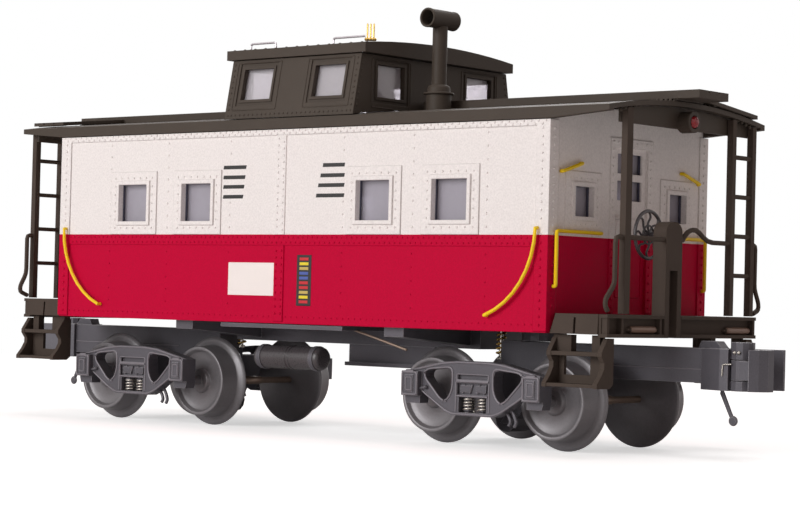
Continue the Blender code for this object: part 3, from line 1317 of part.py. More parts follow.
def build():
    clear_scene()
    node("body_shell", body_shell(), "body")
    node("glass_side_right", side_glass(-1), "glass")
    node("glass_side_left", side_glass(1), "glass")
    node_at_both_ends("glass_end", end_glass(), "glass")
    node("roof", roof(), "roof", round_angle=30)
    node_at_both_ends("running_board", running_board(), "roof")
    node("cupola_walls", cupola_walls(), "roof")
    node("cupola_glass", cupola_glass(), "glass")
    node("cupola_roof", cupola_roof(), "roof", round_angle=30)
    node("smoke_jack", smoke_jack(), "roof", round_angle=35)
    node("antenna", antenna(), "brass", round_angle=40)
    for name, span in (("right", RIGHT_RAIL_X), ("left", LEFT_RAIL_X)):
        rail = cupola_rail(span, -RAIL_Y)
        node("cupola_rail_" + name, rail, "steel", round_angle=60)
    node("underframe", underframe(), "cast")
    node("air_reservoir", air_reservoir(), "cast", round_angle=40)
    node_at_both_ends("platform", platform(), "trim")
    tread = steps()
    node_at_both_ends("steps_right", tread, "trim")
    node_at_both_ends("steps_left", mirrored(tread, "y"), "trim")
    node_at_both_ends("corner_post", corner_post(), "trim", round_angle=40)
    node_at_both_ends("ladder", ladder(), "trim", round_angle=40)
    node_at_both_ends("end_arch", end_arch(), "roof", round_angle=35)
    node_at_both_ends("marker_lens", marker_lens(), "lens", round_angle=60)
    node_at_both_ends("brake_stand", brake_stand(), "trim", round_angle=35)
    node_at_both_ends("brake_wheel", brake_wheel(), "cast", round_angle=40)
    node_at_both_ends("side_grab_right", side_grab(1, -1), "grab", round_angle=60)
    node_at_both_ends("side_grab_left", side_grab(1, 1), "grab", round_angle=60)
    for name, side in (("right", -1), ("left", 1)):
        node_at_both_ends("end_grab_" + name, end_grab(side), "grab", round_angle=60)
        node_at_both_ends("high_grab_" + name, high_grab(side), "grab", round_angle=60)
    truck("a", 0.0)
    truck("b", math.pi)


build()
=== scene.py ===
# %% [markdown]
# # Dressing a toy caboose
# The solids of the toy are already modelled and packed. This lesson gives them their finish and
# adds what is too fine for solids: rivets, coil springs, turned wheels, printed stripes.
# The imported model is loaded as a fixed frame, in metres, and nothing in it is moved.

import math

import bmesh
import bpy
import numpy as np
from mathutils import Matrix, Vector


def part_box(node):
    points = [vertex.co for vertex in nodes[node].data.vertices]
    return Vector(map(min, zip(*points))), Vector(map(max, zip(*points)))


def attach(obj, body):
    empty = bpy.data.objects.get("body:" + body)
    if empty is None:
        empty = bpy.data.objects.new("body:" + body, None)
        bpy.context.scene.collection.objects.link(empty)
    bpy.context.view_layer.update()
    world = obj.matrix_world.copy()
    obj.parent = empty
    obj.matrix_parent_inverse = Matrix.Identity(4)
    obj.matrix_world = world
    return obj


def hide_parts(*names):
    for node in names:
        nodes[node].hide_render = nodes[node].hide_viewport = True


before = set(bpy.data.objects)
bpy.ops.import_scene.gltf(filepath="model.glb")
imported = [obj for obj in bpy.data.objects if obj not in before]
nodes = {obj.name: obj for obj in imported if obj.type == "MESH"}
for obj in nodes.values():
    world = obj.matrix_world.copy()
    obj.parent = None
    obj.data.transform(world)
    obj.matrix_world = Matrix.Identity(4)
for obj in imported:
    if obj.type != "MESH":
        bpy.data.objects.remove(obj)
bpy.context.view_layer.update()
MM = 0.001

# %% [markdown]
# ## Camera
# The camera stands low, level with the floor sill, and close to one corner, and it is rolled by
# a degree and a half. A camera is placed by three directions: right, up and backwards.

# %% Camera
CAMERA_AT = np.array([0.38649, -0.44321, 0.03408])
YAW, PITCH, ROLL = (math.radians(angle) for angle in (130.258, 1.027, 1.4317))


def camera_matrix():
    """Columns are the camera's right, up and backward directions, then its place."""
    ahead = np.array([math.cos(PITCH) * math.cos(YAW), math.cos(PITCH) * math.sin(YAW),
                      math.sin(PITCH)])
    right = np.array([math.sin(YAW), -math.cos(YAW), 0.0])
    up = np.cross(right, ahead)
    rolled = math.cos(ROLL) * right + math.sin(ROLL) * up
    top = math.cos(ROLL) * up - math.sin(ROLL) * right
    matrix = np.eye(4)
    matrix[:3] = np.column_stack((rolled, top, -ahead, CAMERA_AT))
    return matrix


camera_data = bpy.data.cameras.new("camera")
camera_data.lens = 102.72
camera_data.sensor_width = 36.0
camera_data.clip_start = 0.01
camera = bpy.data.objects.new("camera", camera_data)
camera.matrix_world = Matrix(camera_matrix().tolist())
bpy.context.scene.collection.objects.link(camera)
bpy.context.scene.camera = camera
bpy.context.scene.view_settings.view_transform = "Standard"
print("camera stands", round(float(np.linalg.norm(CAMERA_AT)), 3), "m from the middle of the toy")

# %% [markdown]
# ## Helpers for materials
# A material is a small graph of nodes. Two short functions keep the graph readable: one adds a
# node and feeds its sockets, the other adds a piece of arithmetic. Colours are written as the
# eye reads them, 0 to 255, and changed to the linear numbers that Blender computes with.

# %% Node helpers


def tone(red, green, blue):
    """A colour read off a screen, as linear numbers: each share to the power 2.2."""
    return tuple((value / 255.0) ** 2.2 for value in (red, green, blue)) + (1.0,)


def add(tree, kind, feeds=None, **settings):
    """Adds one shader node. Feeds give its sockets a value or a link from another node."""
    made = tree.nodes.new("ShaderNode" + kind)
    for key, value in settings.items():
        setattr(made, key, value)
    for socket, value in (feeds or {}).items():
        if isinstance(value, bpy.types.NodeSocket):
            tree.links.new(value, made.inputs[socket])
        else:
            made.inputs[socket].default_value = value
    return made


def calc(tree, operation, first, second=0.0, third=0.0):
    """One step of arithmetic on numbers that change over the surface."""
    return add(tree, "Math", {0: first, 1: second, 2: third}, operation=operation).outputs[0]


def blended(tree, share, first, second):
    """A colour between two others."""
    mix = add(tree, "Mix", {0: share, 6: first, 7: second}, data_type="RGBA")
    return mix.outputs[2]


def ranged(tree, noise, low, high):
    """Noise, which stays between three and seven tenths, stretched from low to high."""
    return add(tree, "MapRange", {"Value": noise, "From Min": 0.3, "From Max": 0.7,
                                  "To Min": low, "To Max": high}).outputs[0]


def start_group(name, inputs, outputs):
    """An empty node group with its sockets: inputs are (name, value), outputs (name, kind)."""
    tree = bpy.data.node_groups.new(name, "ShaderNodeTree")
    for label, value in inputs:
        socket = tree.interface.new_socket(label, in_out="INPUT", socket_type="NodeSocketFloat")
        socket.default_value = value
    for label, kind in outputs:
        tree.interface.new_socket(label, in_out="OUTPUT", socket_type="NodeSocket" + kind)
    return tree, tree.nodes.new("NodeGroupInput"), tree.nodes.new("NodeGroupOutput")


def close_group(tree, sink, **made):
    """Links what the group has worked out to its outputs."""
    for label, socket in made.items():
        tree.links.new(socket, sink.inputs[label])
    print("node group", tree.name, "puts out", ", ".join(made))
    return tree

# %% [markdown]
# ## Effects that several finishes share
# *Grain* is the fine unevenness of sprayed paint and moulded plastic. *Soft edge* rounds the
# light on sharp edges and finds where handling would polish them. *Dust* settles on what faces
# upwards. Each is a group, built once, and each material sets its own amounts.

# %% Grain group


def grain_group():
    """Noise at two sizes. Tone drifts slowly, Height is the fine texture, both round one half."""
    tree, source, sink = start_group("grain", [("Fine", 3000.0), ("Broad", 90.0)],
                                     [("Tone", "Float"), ("Height", "Float")])
    place = add(tree, "TexCoord").outputs["Object"]
    fine = add(tree, "TexNoise", {"Vector": place, "Scale": source.outputs["Fine"],
                                  "Detail": 2.0, "Roughness": 0.6})
    broad = add(tree, "TexNoise", {"Vector": place, "Scale": source.outputs["Broad"],
                                   "Detail": 3.0, "Roughness": 0.5})
    half = calc(tree, "MULTIPLY", fine.outputs["Fac"], 0.5)
    mixed = calc(tree, "MULTIPLY_ADD", broad.outputs["Fac"], 0.5, half)
    return close_group(tree, sink, Tone=mixed, Height=fine.outputs["Fac"])


GRAIN = grain_group()

# %% Soft edge group


def soft_edge_group():
    """The bevelled normal, and its lean away from the face: zero on flats, one on edges."""
    tree, source, sink = start_group("soft edge", [("Radius", 0.0002), ("Gain", 6.0)],
                                     [("Normal", "Vector"), ("Edge", "Float")])
    bevel = add(tree, "Bevel", {"Radius": source.outputs["Radius"]}, samples=6)
    flat = add(tree, "NewGeometry").outputs["Normal"]
    match = add(tree, "VectorMath", {0: bevel.outputs[0], 1: flat}, operation="DOT_PRODUCT")
    lean = calc(tree, "SUBTRACT", 1.0, match.outputs["Value"])
    edge = add(tree, "Math", {0: lean, 1: source.outputs["Gain"]}, operation="MULTIPLY",
               use_clamp=True)
    return close_group(tree, sink, Normal=bevel.outputs[0], Edge=edge.outputs[0])


SOFT_EDGE = soft_edge_group()

# %% Dust group


def dust_group():
    """Upward-facing surface times patchy noise, scaled by Amount."""
    tree, source, sink = start_group("dust", [("Amount", 0.2)], [("Mask", "Float")])
    place = add(tree, "TexCoord").outputs["Object"]
    patches = add(tree, "TexNoise", {"Vector": place, "Scale": 260.0, "Detail": 4.0})
    facing = add(tree, "SeparateXYZ", {0: add(tree, "NewGeometry").outputs["Normal"]})
    upward = calc(tree, "MAXIMUM", facing.outputs["Z"], 0.0)
    patchy = calc(tree, "MULTIPLY", upward, patches.outputs["Fac"])
    mask = add(tree, "Math", {0: patchy, 1: source.outputs["Amount"]}, operation="MULTIPLY",
               use_clamp=True)
    return close_group(tree, sink, Mask=mask.outputs[0])


DUST = dust_group()

# %% Paint line group
PAINT_LINE = 0.0495
WALL_X, WALL_Y = 0.0816, 0.0322
SKIN = 0.0009


def paint_line_group():
    """Upper is one above the paint line. Inside is one behind the body's outer skin."""
    tree, source, sink = start_group("paint line", [("Line", PAINT_LINE), ("Skin", SKIN)],
                                     [("Upper", "Float"), ("Inside", "Float")])
    place = add(tree, "SeparateXYZ", {0: add(tree, "TexCoord").outputs["Object"]})
    upper = calc(tree, "GREATER_THAN", place.outputs["Z"], source.outputs["Line"])
    depths = []
    for axis, wall in (("X", WALL_X), ("Y", WALL_Y)):
        away = calc(tree, "ABSOLUTE", place.outputs[axis])
        limit = calc(tree, "SUBTRACT", wall, source.outputs["Skin"])
        depths.append(calc(tree, "LESS_THAN", away, limit))
    inside = calc(tree, "MULTIPLY", *depths)
    return close_group(tree, sink, Upper=upper, Inside=inside)


PAINT_LINES = paint_line_group()

# %% [markdown]
# ## The finishes
# Most of the toy is one of four things: sprayed body paint, dark moulded plastic, blackened
# die-cast metal and bright wire. They share one recipe, which mixes a base colour with a lighter
# one by grain, polishes the edges, lays dust on top and lets the grain roughen the gloss.

# %% The shared recipe
FINISH = {}


def shader(name, **sockets):
    """A material with one Principled shader, its plain numbers set on the shader itself. It is
    kept under its name."""
    FINISH[name] = bpy.data.materials.new(name)
    FINISH[name].use_nodes = True
    tree = FINISH[name].node_tree
    principled = tree.nodes["Principled BSDF"]
    for socket, value in sockets.items():
        principled.inputs[socket.replace("_", " ")].default_value = value
    return tree, principled


def use(tree, group, **values):
    """Places a node group in a material, with this material's own values."""
    made = tree.nodes.new("ShaderNodeGroup")
    made.node_tree = group
    for label, value in values.items():
        made.inputs[label].default_value = value
    return made.outputs


def dress(tree, principled, base, spread=0.12, worn=None, wear=0.0, dusty=0.0, fine=3000.0,
          bump=0.00001, gloss=(0.4, 0.5), radius=0.0002, fleck="Tone"):
    """Grain over the base colour, worn edges, dust, varied gloss and a fine bump. Fleck is the
    grain's output that lightens and darkens: Tone drifts as well, Height is fine only."""
    grain = use(tree, GRAIN, Fine=fine)
    edges = use(tree, SOFT_EDGE, Radius=radius)
    swing = ranged(tree, grain[fleck], 1.0 - spread, 1.0 + spread)
    colour = add(tree, "VectorMath", {0: base, "Scale": swing}, operation="SCALE").outputs[0]
    if worn:
        patchy = calc(tree, "MULTIPLY", edges["Edge"], calc(tree, "MULTIPLY", grain["Tone"], wear))
        colour = blended(tree, patchy, colour, worn)
    if dusty:
        dust = use(tree, DUST, Amount=dusty)
        colour = blended(tree, dust["Mask"], colour, tone(150, 143, 135))
    tree.links.new(colour, principled.inputs["Base Color"])
    tree.links.new(ranged(tree, grain["Height"], *gloss), principled.inputs["Roughness"])
    relief = add(tree, "Bump", {"Height": grain["Height"], "Distance": bump,
                                "Normal": edges["Normal"]})
    tree.links.new(relief.outputs[0], principled.inputs["Normal"])


def finish(name, colour, metallic=0.0, specular=0.5, **recipe):
    """One finish by the shared recipe."""
    tree, principled = shader(name, Metallic=metallic, Specular_IOR_Level=specular)
    base = add(tree, "RGB")
    base.outputs[0].default_value = colour
    dress(tree, principled, base.outputs[0], **recipe)

# %% Body paint
WHITE, CRIMSON, LINER = tone(240, 235, 233), tone(193, 0, 57), tone(96, 96, 112)


def body_paint():
    """White above the paint line, crimson below it, bare grey plastic behind the skin."""
    tree, principled = shader("body", Specular_IOR_Level=0.07)
    lines = use(tree, PAINT_LINES)
    painted = blended(tree, lines["Upper"], CRIMSON, WHITE)
    colour = blended(tree, lines["Inside"], painted, LINER)
    dress(tree, principled, colour, spread=0.07, fine=2200.0, bump=0.00003, gloss=(0.42, 0.6),
          radius=0.0004, fleck="Height")


body_paint()
print("body paint: white above", PAINT_LINE / MM, "mm, crimson below")

# %% Plastic, metal and wire finishes
finish("roof", tone(70, 62, 55), spread=0.14, worn=tone(104, 94, 86), wear=0.5, dusty=0.1,
       bump=0.00004, gloss=(0.5, 0.66), specular=0.25)
finish("trim", tone(77, 68, 62), worn=tone(104, 92, 83), wear=0.5, dusty=0.05,
       bump=0.00003, gloss=(0.6, 0.76), specular=0.12)
finish("cast", tone(90, 88, 94), metallic=0.2, spread=0.2, worn=tone(168, 165, 170), wear=1.8,
       dusty=0.2, bump=0.00004, gloss=(0.36, 0.54), specular=0.35)
finish("wheel", tone(122, 119, 122), metallic=0.3, worn=tone(170, 168, 170),
       wear=1.0, dusty=0.1, fine=2000.0, gloss=(0.32, 0.46))
finish("grab", tone(252, 212, 6), spread=0.06, worn=tone(255, 236, 120), wear=0.6,
       bump=0.000008, gloss=(0.3, 0.42), specular=0.35)
for name, colour, metallic, gloss in (("steel", tone(190, 184, 176), 1.0, (0.2, 0.34)),
                                      ("rail", tone(214, 208, 214), 0.5, (0.2, 0.34)),
                                      ("brass", tone(222, 182, 104), 1.0, (0.18, 0.32))):
    finish(name, colour, metallic, spread=0.1, bump=0.000006, gloss=gloss)
# The beam bars' brown is painted shade; their lighter edges are wear.
finish("bar", tone(128, 102, 88), worn=tone(165, 140, 124), wear=0.5, bump=0.00002,
       gloss=(0.4, 0.55))
finish("axle", tone(150, 130, 116), metallic=0.6, spread=0.1, gloss=(0.35, 0.5))
# Bead: a lighter grey than the cast finish, a painted highlight on raised edges.
finish("bead", tone(124, 120, 126), metallic=0.2, gloss=(0.36, 0.5))
finish("tank", tone(72, 68, 70), gloss=(0.24, 0.36))
print("finishes:", ", ".join(sorted(FINISH)))

# %% [markdown]
# ## Clear parts
# The windows are strips of milky styrene behind the walls: about half of the light passes
# through, and the rest is scattered, which gives the lilac grey. The cupola's strip is clearer.
# Tint and gloss are slightly uneven, as on pressed plastic. The marker lens is red.

# %% Glass and lens
STYRENE_IOR, DARKEST, ROUGH_SWING = 1.49, 0.94, 0.04


def clear(name, tint, transmission, rough):
    """A clear finish: tint broken by faint grain, and slightly uneven gloss."""
    tree, principled = shader(name, Transmission_Weight=transmission, IOR=STYRENE_IOR)
    grain = use(tree, GRAIN, Fine=900.0, Broad=40.0)
    shade = ranged(tree, grain["Tone"], DARKEST, 1.0)
    tinted = add(tree, "VectorMath", {0: tint[:3], "Scale": shade}, operation="SCALE")
    tree.links.new(tinted.outputs[0], principled.inputs["Base Color"])
    gloss = ranged(tree, grain["Height"], rough, rough + ROUGH_SWING)
    tree.links.new(gloss, principled.inputs["Roughness"])


clear("glass", tone(206, 202, 214), 0.45, 0.04)
clear("glass_cupola", tone(253, 249, 255), 0.62, 0.02)
clear("lens", tone(170, 44, 52), 0.35, 0.06)
print("finishes with the clear ones:", len(FINISH))

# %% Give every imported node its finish
SLOTS = {name: thing.data.materials[0].name.split(".")[0] for name, thing in nodes.items()}
for name, thing in nodes.items():
    thing.data.materials.clear()
    thing.data.materials.append(FINISH[SLOTS[name]])
nodes["cupola_glass"].data.materials[0] = FINISH["glass_cupola"]
for side in ("right", "left"):
    nodes["cupola_rail_" + side].data.materials[0] = FINISH["rail"]
print("nodes with a finish:", len(SLOTS))

# %% [markdown]
# ## Helpers for shapes
# A shape here is three arrays: points, four-sided faces and three-sided faces. A grid of points
# becomes faces by joining each point to its neighbours, so a lathe, a pipe and a rivet are all
# the same idea with a different formula for the points.

# %% Grids and joins


def grid(points, around=True):
    """Faces over a grid of points (rows, columns, 3). Around closes each row on itself."""
    rows, columns = points.shape[:2]
    row = np.arange(rows - 1)[:, None]
    column = np.arange(columns if around else columns - 1)[None, :]
    after = (column + 1) % columns
    quads = np.stack(np.broadcast_arrays(row * columns + column, row * columns + after,
                                         (row + 1) * columns + after,
                                         (row + 1) * columns + column), -1)
    return points.reshape(-1, 3), quads.reshape(-1, 4), np.zeros((0, 3), int)


def capped(points):
    """A grid closed around, with a fan of triangles to a middle point at each end."""
    flat, quads, _ = grid(points)
    rows, columns = points.shape[:2]
    middles = np.stack((points[0].mean(0), points[-1].mean(0)))
    ring = np.arange(columns)
    after = (ring + 1) % columns
    first = np.stack((np.full(columns, rows * columns), after, ring), -1)
    last = np.stack((np.full(columns, rows * columns + 1), ring + (rows - 1) * columns,
                     after + (rows - 1) * columns), -1)
    return np.concatenate((flat, middles)), quads, np.concatenate((first, last))


def together(*shapes):
    """Several shapes as one: the faces' numbers shift by the points that come before."""
    starts = np.cumsum([0] + [len(shape[0]) for shape in shapes[:-1]])
    return tuple(np.concatenate([shape[part] + (start if part else 0)
                                 for shape, start in zip(shapes, starts)]) for part in range(3))


def copies(shape, places, axes=None):
    """The same shape at many places: place + point turned by axes, as one array."""
    points, quads, tris = shape
    places = np.asarray(places, float).reshape(-1, 1, 3)
    moved = places + (points if axes is None else points @ axes)
    shift = np.arange(len(places))[:, None, None] * len(points)
    return moved.reshape(-1, 3), (quads + shift).reshape(-1, 4), (tris + shift).reshape(-1, 3)


def mirrored(make):
    """Two shapes as one: what a function makes for side -1 and for side 1."""
    return together(make(-1.0), make(1.0))


def scaled(shape, factors):
    """The shape with each coordinate times its factor. (-1, -1, 1) is a half turn."""
    return shape[0] * factors, shape[1], shape[2]


HALF_TURN = (-1.0, -1.0, 1.0)


def on_plane(pairs, axis, place):
    """Pairs of coordinates as points on a plane square to an axis, with place put in between:
    (place, first, second) for axis 0, (first, place, second) for 1, and so on."""
    return np.insert(np.asarray(pairs, float), axis, place, axis=1)


def whole_turn(count):
    """Angles evenly round a circle, without the first one again at the end."""
    return np.linspace(0.0, 2.0 * math.pi, count, endpoint=False)


# %% Lathe, pipe and rivet


def turned(profile, axis, centre, segments):
    """A grid turned on an axis. Profile rows are (along, radius): point = along on the axis,
    and the radius times (cos t, sin t) across it."""
    turn = whole_turn(segments)
    along = np.repeat(profile[:, :1], segments, 1)
    first = profile[:, 1:] * np.cos(turn)
    second = profile[:, 1:] * np.sin(turn)
    order = {"x": (along, first, second), "y": (first, along, second),
             "z": (first, second, along)}[axis]
    return np.stack(order, -1) + centre


def lathe(profile, axis, centre, segments):
    """A turned shape with both ends closed by a fan."""
    return capped(turned(profile, axis, centre, segments))


def turned_ring(profile, axis, centre, segments=48):
    """A turned shape round a hole: the profile is a loop, so its first row comes again last."""
    rings = turned(profile, axis, centre, segments)
    return grid(np.concatenate((rings, rings[:1])))


def pipe(path, radius, sides, across):
    """A pipe along a path: path + radius * (cos t * side + sin t * up), where side and up are
    square to the path and to the direction across."""
    path = np.asarray(path, float)
    along = np.gradient(path, axis=0)
    along /= np.linalg.norm(along, axis=1, keepdims=True)
    side = np.cross(along, across)
    side /= np.linalg.norm(side, axis=1, keepdims=True)
    up = np.cross(side, along)
    turn = whole_turn(sides)[None, :, None]
    width = np.broadcast_to(radius, len(path))[:, None, None]
    return capped(path[:, None] + width * (np.cos(turn) * side[:, None]
                                           + np.sin(turn) * up[:, None]))


def rounded_path(corners, radius, steps=4):
    """A path through corners with arcs: each corner is replaced by a quadratic curve whose ends
    lie radius away on both legs."""
    corners = np.asarray(corners, float)
    before, here, after = corners[:-2], corners[1:-1], corners[2:]
    back, ahead = before - here, after - here
    back /= np.linalg.norm(back, axis=1, keepdims=True)
    ahead /= np.linalg.norm(ahead, axis=1, keepdims=True)
    share = np.linspace(0.0, 1.0, steps)[None, :, None]
    start, end = (here + radius * back)[:, None], (here + radius * ahead)[:, None]
    arcs = (1 - share) ** 2 * start + 2 * share * (1 - share) * here[:, None] + share ** 2 * end
    return np.concatenate((corners[:1], arcs.reshape(-1, corners.shape[1]), corners[-1:]))


def rivet(radius, height, sides=8):
    """A low dome on the z = 0 plane, sunk a little: rings of cos and sin of the rise angle."""
    rise = np.radians([-25.0, 0.0, 38.0, 68.0])[:, None]
    turn = whole_turn(sides)[None, :]
    points = np.stack((radius * np.cos(rise) * np.cos(turn), radius * np.cos(rise) * np.sin(turn),
                       height * np.sin(rise) + 0.0 * turn), -1)
    return capped(points)

# %% Turn arrays into a piece


def piece(name, shape, body, slot, material=None, smooth=35.0, stands_for=()):
    """A finished piece: mesh from the arrays, outward faces, smooth up to an angle, riding on
    its body."""
    points, quads, tris = shape
    mesh = bpy.data.meshes.new(name)
    mesh.from_pydata(points.tolist(), [], quads.tolist() + tris.tolist())
    work = bmesh.new()
    work.from_mesh(mesh)
    bmesh.ops.remove_doubles(work, verts=work.verts, dist=1e-7)
    bmesh.ops.recalc_face_normals(work, faces=work.faces)
    work.to_mesh(mesh)
    work.free()
    mesh.polygons.foreach_set("use_smooth", np.ones(len(mesh.polygons), bool))
    mesh.set_sharp_from_angle(angle=math.radians(smooth))
    mesh.materials.append(FINISH[material or slot])
    thing = bpy.data.objects.new(name, mesh)
    bpy.context.scene.collection.objects.link(thing)
    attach(thing, body)
    if stands_for:
        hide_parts(*stands_for)
    print(f"{name}: {len(quads) * 2 + len(tris)} triangles on {body}")


ENDS, SIDES = ("a", "b"), ("right", "left")


def labelled(name, label):
    """A name that ends in _ takes the label."""
    return name + label if name.endswith("_") else name


def both(name, shape, body, slot, material=None, labels=ENDS, stands_for=()):
    """The piece as it is, and again turned by half about the car's middle, under two labels."""
    for label, turn in zip(labels, (1.0, HALF_TURN)):
        piece(f"{name}_{label}", scaled(shape, turn), labelled(body, label), slot, material,
              stands_for=[labelled(node, label) for node in stands_for])

# %% [markdown]
# ## Rivets on the body
# A steel caboose is plates riveted together, and the toy's mould copies every head. They stand
# in rows: down the corners, along the eaves, round each window and over the seams between the
# plates. A row is a few numbers, and each head is the same small dome.

# %% Where the rivets of one side stand
STRIP, BELT = 0.0003, 0.0002
STRIP_X, STRIP_Y = WALL_X + STRIP, WALL_Y + STRIP
SIDE_WINDOWS = [(x, 0.0577) for x in (-0.0533, -0.0298, 0.0298, 0.0533)]


def row(start, end, pitch):
    """Evenly spaced values from start to end, about a pitch apart."""
    return np.linspace(start, end, max(2, int(round(abs(end - start) / pitch)) + 1))


def round_windows(half_width, half_height, count, middles):
    """Points round equal rectangles, count to a side: (across, up) pairs, corners once."""
    share = np.linspace(-1.0, 1.0, count)
    across = np.concatenate((share, share, -np.ones(count - 2), np.ones(count - 2)))
    up = np.concatenate((np.ones(count), -np.ones(count), share[1:-1], share[1:-1]))
    ring = np.stack((across * half_width, up * half_height), -1)
    return (ring + np.asarray(middles)[:, None]).reshape(-1, 2)


def lattice(across, up):
    """Every pair of the two lists, as rows."""
    return np.stack(np.meshgrid(across, up, indexing="ij"), -1).reshape(-1, 2)


def lattices(*pairs):
    """Several lattices as one."""
    return np.concatenate([lattice(*pair) for pair in pairs])


SEAM_X = (-0.0022, 0.0010)
PLATE_COLUMNS = np.array([-0.0623, -0.0407, -0.0182, 0.0199, 0.0419, 0.0640])
upper_columns = lattice(PLATE_COLUMNS, row(0.0513, 0.0730, 0.0033))
STRIPES_MIDDLE, STRIPES_HALF = (0.0, 0.0627), (0.0210, 0.0046)
under_stripes = np.all(np.abs(upper_columns - STRIPES_MIDDLE) < STRIPES_HALF, axis=1)
upper_columns = upper_columns[~under_stripes]
lower_columns = lattice(PLATE_COLUMNS, row(0.0322, 0.0450, 0.0033))
corner_columns = lattice([-0.0798, 0.0798], row(0.0292, 0.0735, 0.00185))
clear_of_grab = np.abs(corner_columns[:, 1] - 0.0510) > 0.0012
eave_rows = lattices((row(-0.0806, 0.0806, 0.0021), [0.0752]),
                     (row(-0.0796, 0.0796, 0.0021), [0.0745]))
seam_rows = lattices(([-0.0015], row(0.0515, 0.0732, 0.0017)),
                     ([0.0003], row(0.0506, 0.0724, 0.0017)),
                     ([-0.0015, 0.0003], row(0.0300, 0.0455, 0.0017)))
belt_rows = lattices((row(-0.0775, 0.0775, 0.0016), [0.0488]),
                     (row(-0.0767, 0.0767, 0.0016), [0.0475]))
sill_row = lattice(row(-0.0775, 0.0775, 0.0019), [0.0292])
window_rivets = round_windows(0.00695, 0.0065, 7, SIDE_WINDOWS)
SIDE_ROWS = [
    (upper_columns, -WALL_Y, 0.31, 0.26), (lower_columns, -WALL_Y, 0.24, 0.12),
    (corner_columns[clear_of_grab], -STRIP_Y, 0.34, 0.27), (eave_rows, -STRIP_Y, 0.34, 0.26),
    (seam_rows, -STRIP_Y, 0.32, 0.25), (belt_rows, -WALL_Y - BELT, 0.28, 0.16),
    (sill_row, -WALL_Y, 0.22, 0.12), (window_rivets, -STRIP_Y, 0.32, 0.25)]
print("rivets on one side:", sum(len(pairs) for pairs, *_ in SIDE_ROWS))

# %% Set the rivets on both sides
TOWARDS_RIGHT = np.array([[1.0, 0.0, 0.0], [0.0, 0.0, 1.0], [0.0, -1.0, 0.0]])
TOWARDS_END = np.array([[0.0, 1.0, 0.0], [0.0, 0.0, 1.0], [1.0, 0.0, 0.0]])


def riveted(rows, axis, turn):
    """Rivets on planes square to an axis, as one shape. A row is its pairs of coordinates, the
    plane's place, and the head's radius and height in millimetres."""
    return together(*[copies(rivet(radius * MM, height * MM), on_plane(pairs, axis, place), turn)
                      for pairs, place, radius, height in rows])


both("side_rivets", riveted(SIDE_ROWS, 1, TOWARDS_RIGHT), "car", "body", labels=SIDES)

# %% Rivets on the end walls
END_WINDOWS = [(-0.0192, 0.05755), (0.0192, 0.05755)]
DOOR_EDGE, DOOR_HEAD = 0.0077, 0.0721
end_corner = lattice([-0.0308, 0.0308], row(0.0335, 0.0735, 0.00185))
door_sides = lattice([-DOOR_EDGE, DOOR_EDGE], row(0.0336, DOOR_HEAD, 0.0019))
door_head = lattice(row(-0.0058, 0.0058, 0.0019), [DOOR_HEAD])
end_windows = round_windows(0.00535, 0.00515, 6, END_WINDOWS)
END_ROWS = [(end_corner, STRIP_X, 0.34, 0.27), (door_sides, STRIP_X, 0.32, 0.25),
            (door_head, STRIP_X, 0.32, 0.25), (end_windows, STRIP_X, 0.30, 0.24)]
both("end_rivets", riveted(END_ROWS, 0, TOWARDS_END), "car", "body")

# %% [markdown]
# ## Cover strips
# Where two plates meet, a narrow strip covers the joint, and a belt strip runs under the paint
# line. Each is a thin board with softened edges: a small profile carried along a straight line.

# %% Strips and seams


def board(low, high, proud, wall=WALL_Y, ease=0.00008):
    """A thin board on the right-hand wall from corner (x, z) low to high: three nested
    rectangles, at the wall, near the face, and the face itself drawn in by the ease."""
    (x0, z0), (x1, z1) = low, high
    depth = np.array([wall - 0.0001, wall + proud - ease, wall + proud])
    inset = np.array([0.0, 0.0, ease])[:, None]
    x = np.stack((x0 + inset, x1 - inset, x1 - inset, x0 + inset), 1)[..., 0]
    z = np.stack((z0 + inset, z0 + inset, z1 - inset, z1 - inset), 1)[..., 0]
    y = -np.repeat(depth[:, None], 4, 1)
    return capped(np.stack((x, y, z), -1))


strips = together(
    board((SEAM_X[0], 0.0494), (SEAM_X[1], 0.0742), STRIP),
    board((SEAM_X[0], 0.0280), (SEAM_X[1], 0.0468), STRIP),
    board((-0.0781, 0.0468), (0.0781, 0.0494), BELT))
both("cover_strips", strips, "car", "body", labels=SIDES)

# %% [markdown]
# ## Printing
# Black stripes are printed on the white, and two small plates on the crimson. Print has almost
# no thickness, so each stripe is a board a twentieth of a millimetre proud. The plates are blank.

# %% Printed finishes
finish("print_black", tone(22, 20, 20), spread=0.1)
finish("print_white", tone(246, 238, 234), spread=0.03)
BAR_COLOURS = [tone(200, 30, 40), tone(196, 172, 92), tone(72, 92, 168), tone(232, 210, 40)]
for number, colour in enumerate(BAR_COLOURS):
    finish(f"print_bar_{number + 1}", colour, spread=0.04)
print("printed finishes:", ", ".join(name for name in FINISH if name.startswith("print")))

# %% Stripes and plates
PRINT, PLATE = 0.00005, 0.0001
STRIPE_WIDTH, SLANT = 0.001, 0.0002


def stripe(left, right, height):
    """A printed stripe: a board sheared so that its ends lean by the slant."""
    half = STRIPE_WIDTH / 2.0
    points, quads, tris = board((left, height - half), (right, height + half), PRINT)
    points[:, 0] += SLANT * (points[:, 2] - height) / STRIPE_WIDTH
    return points, quads, tris


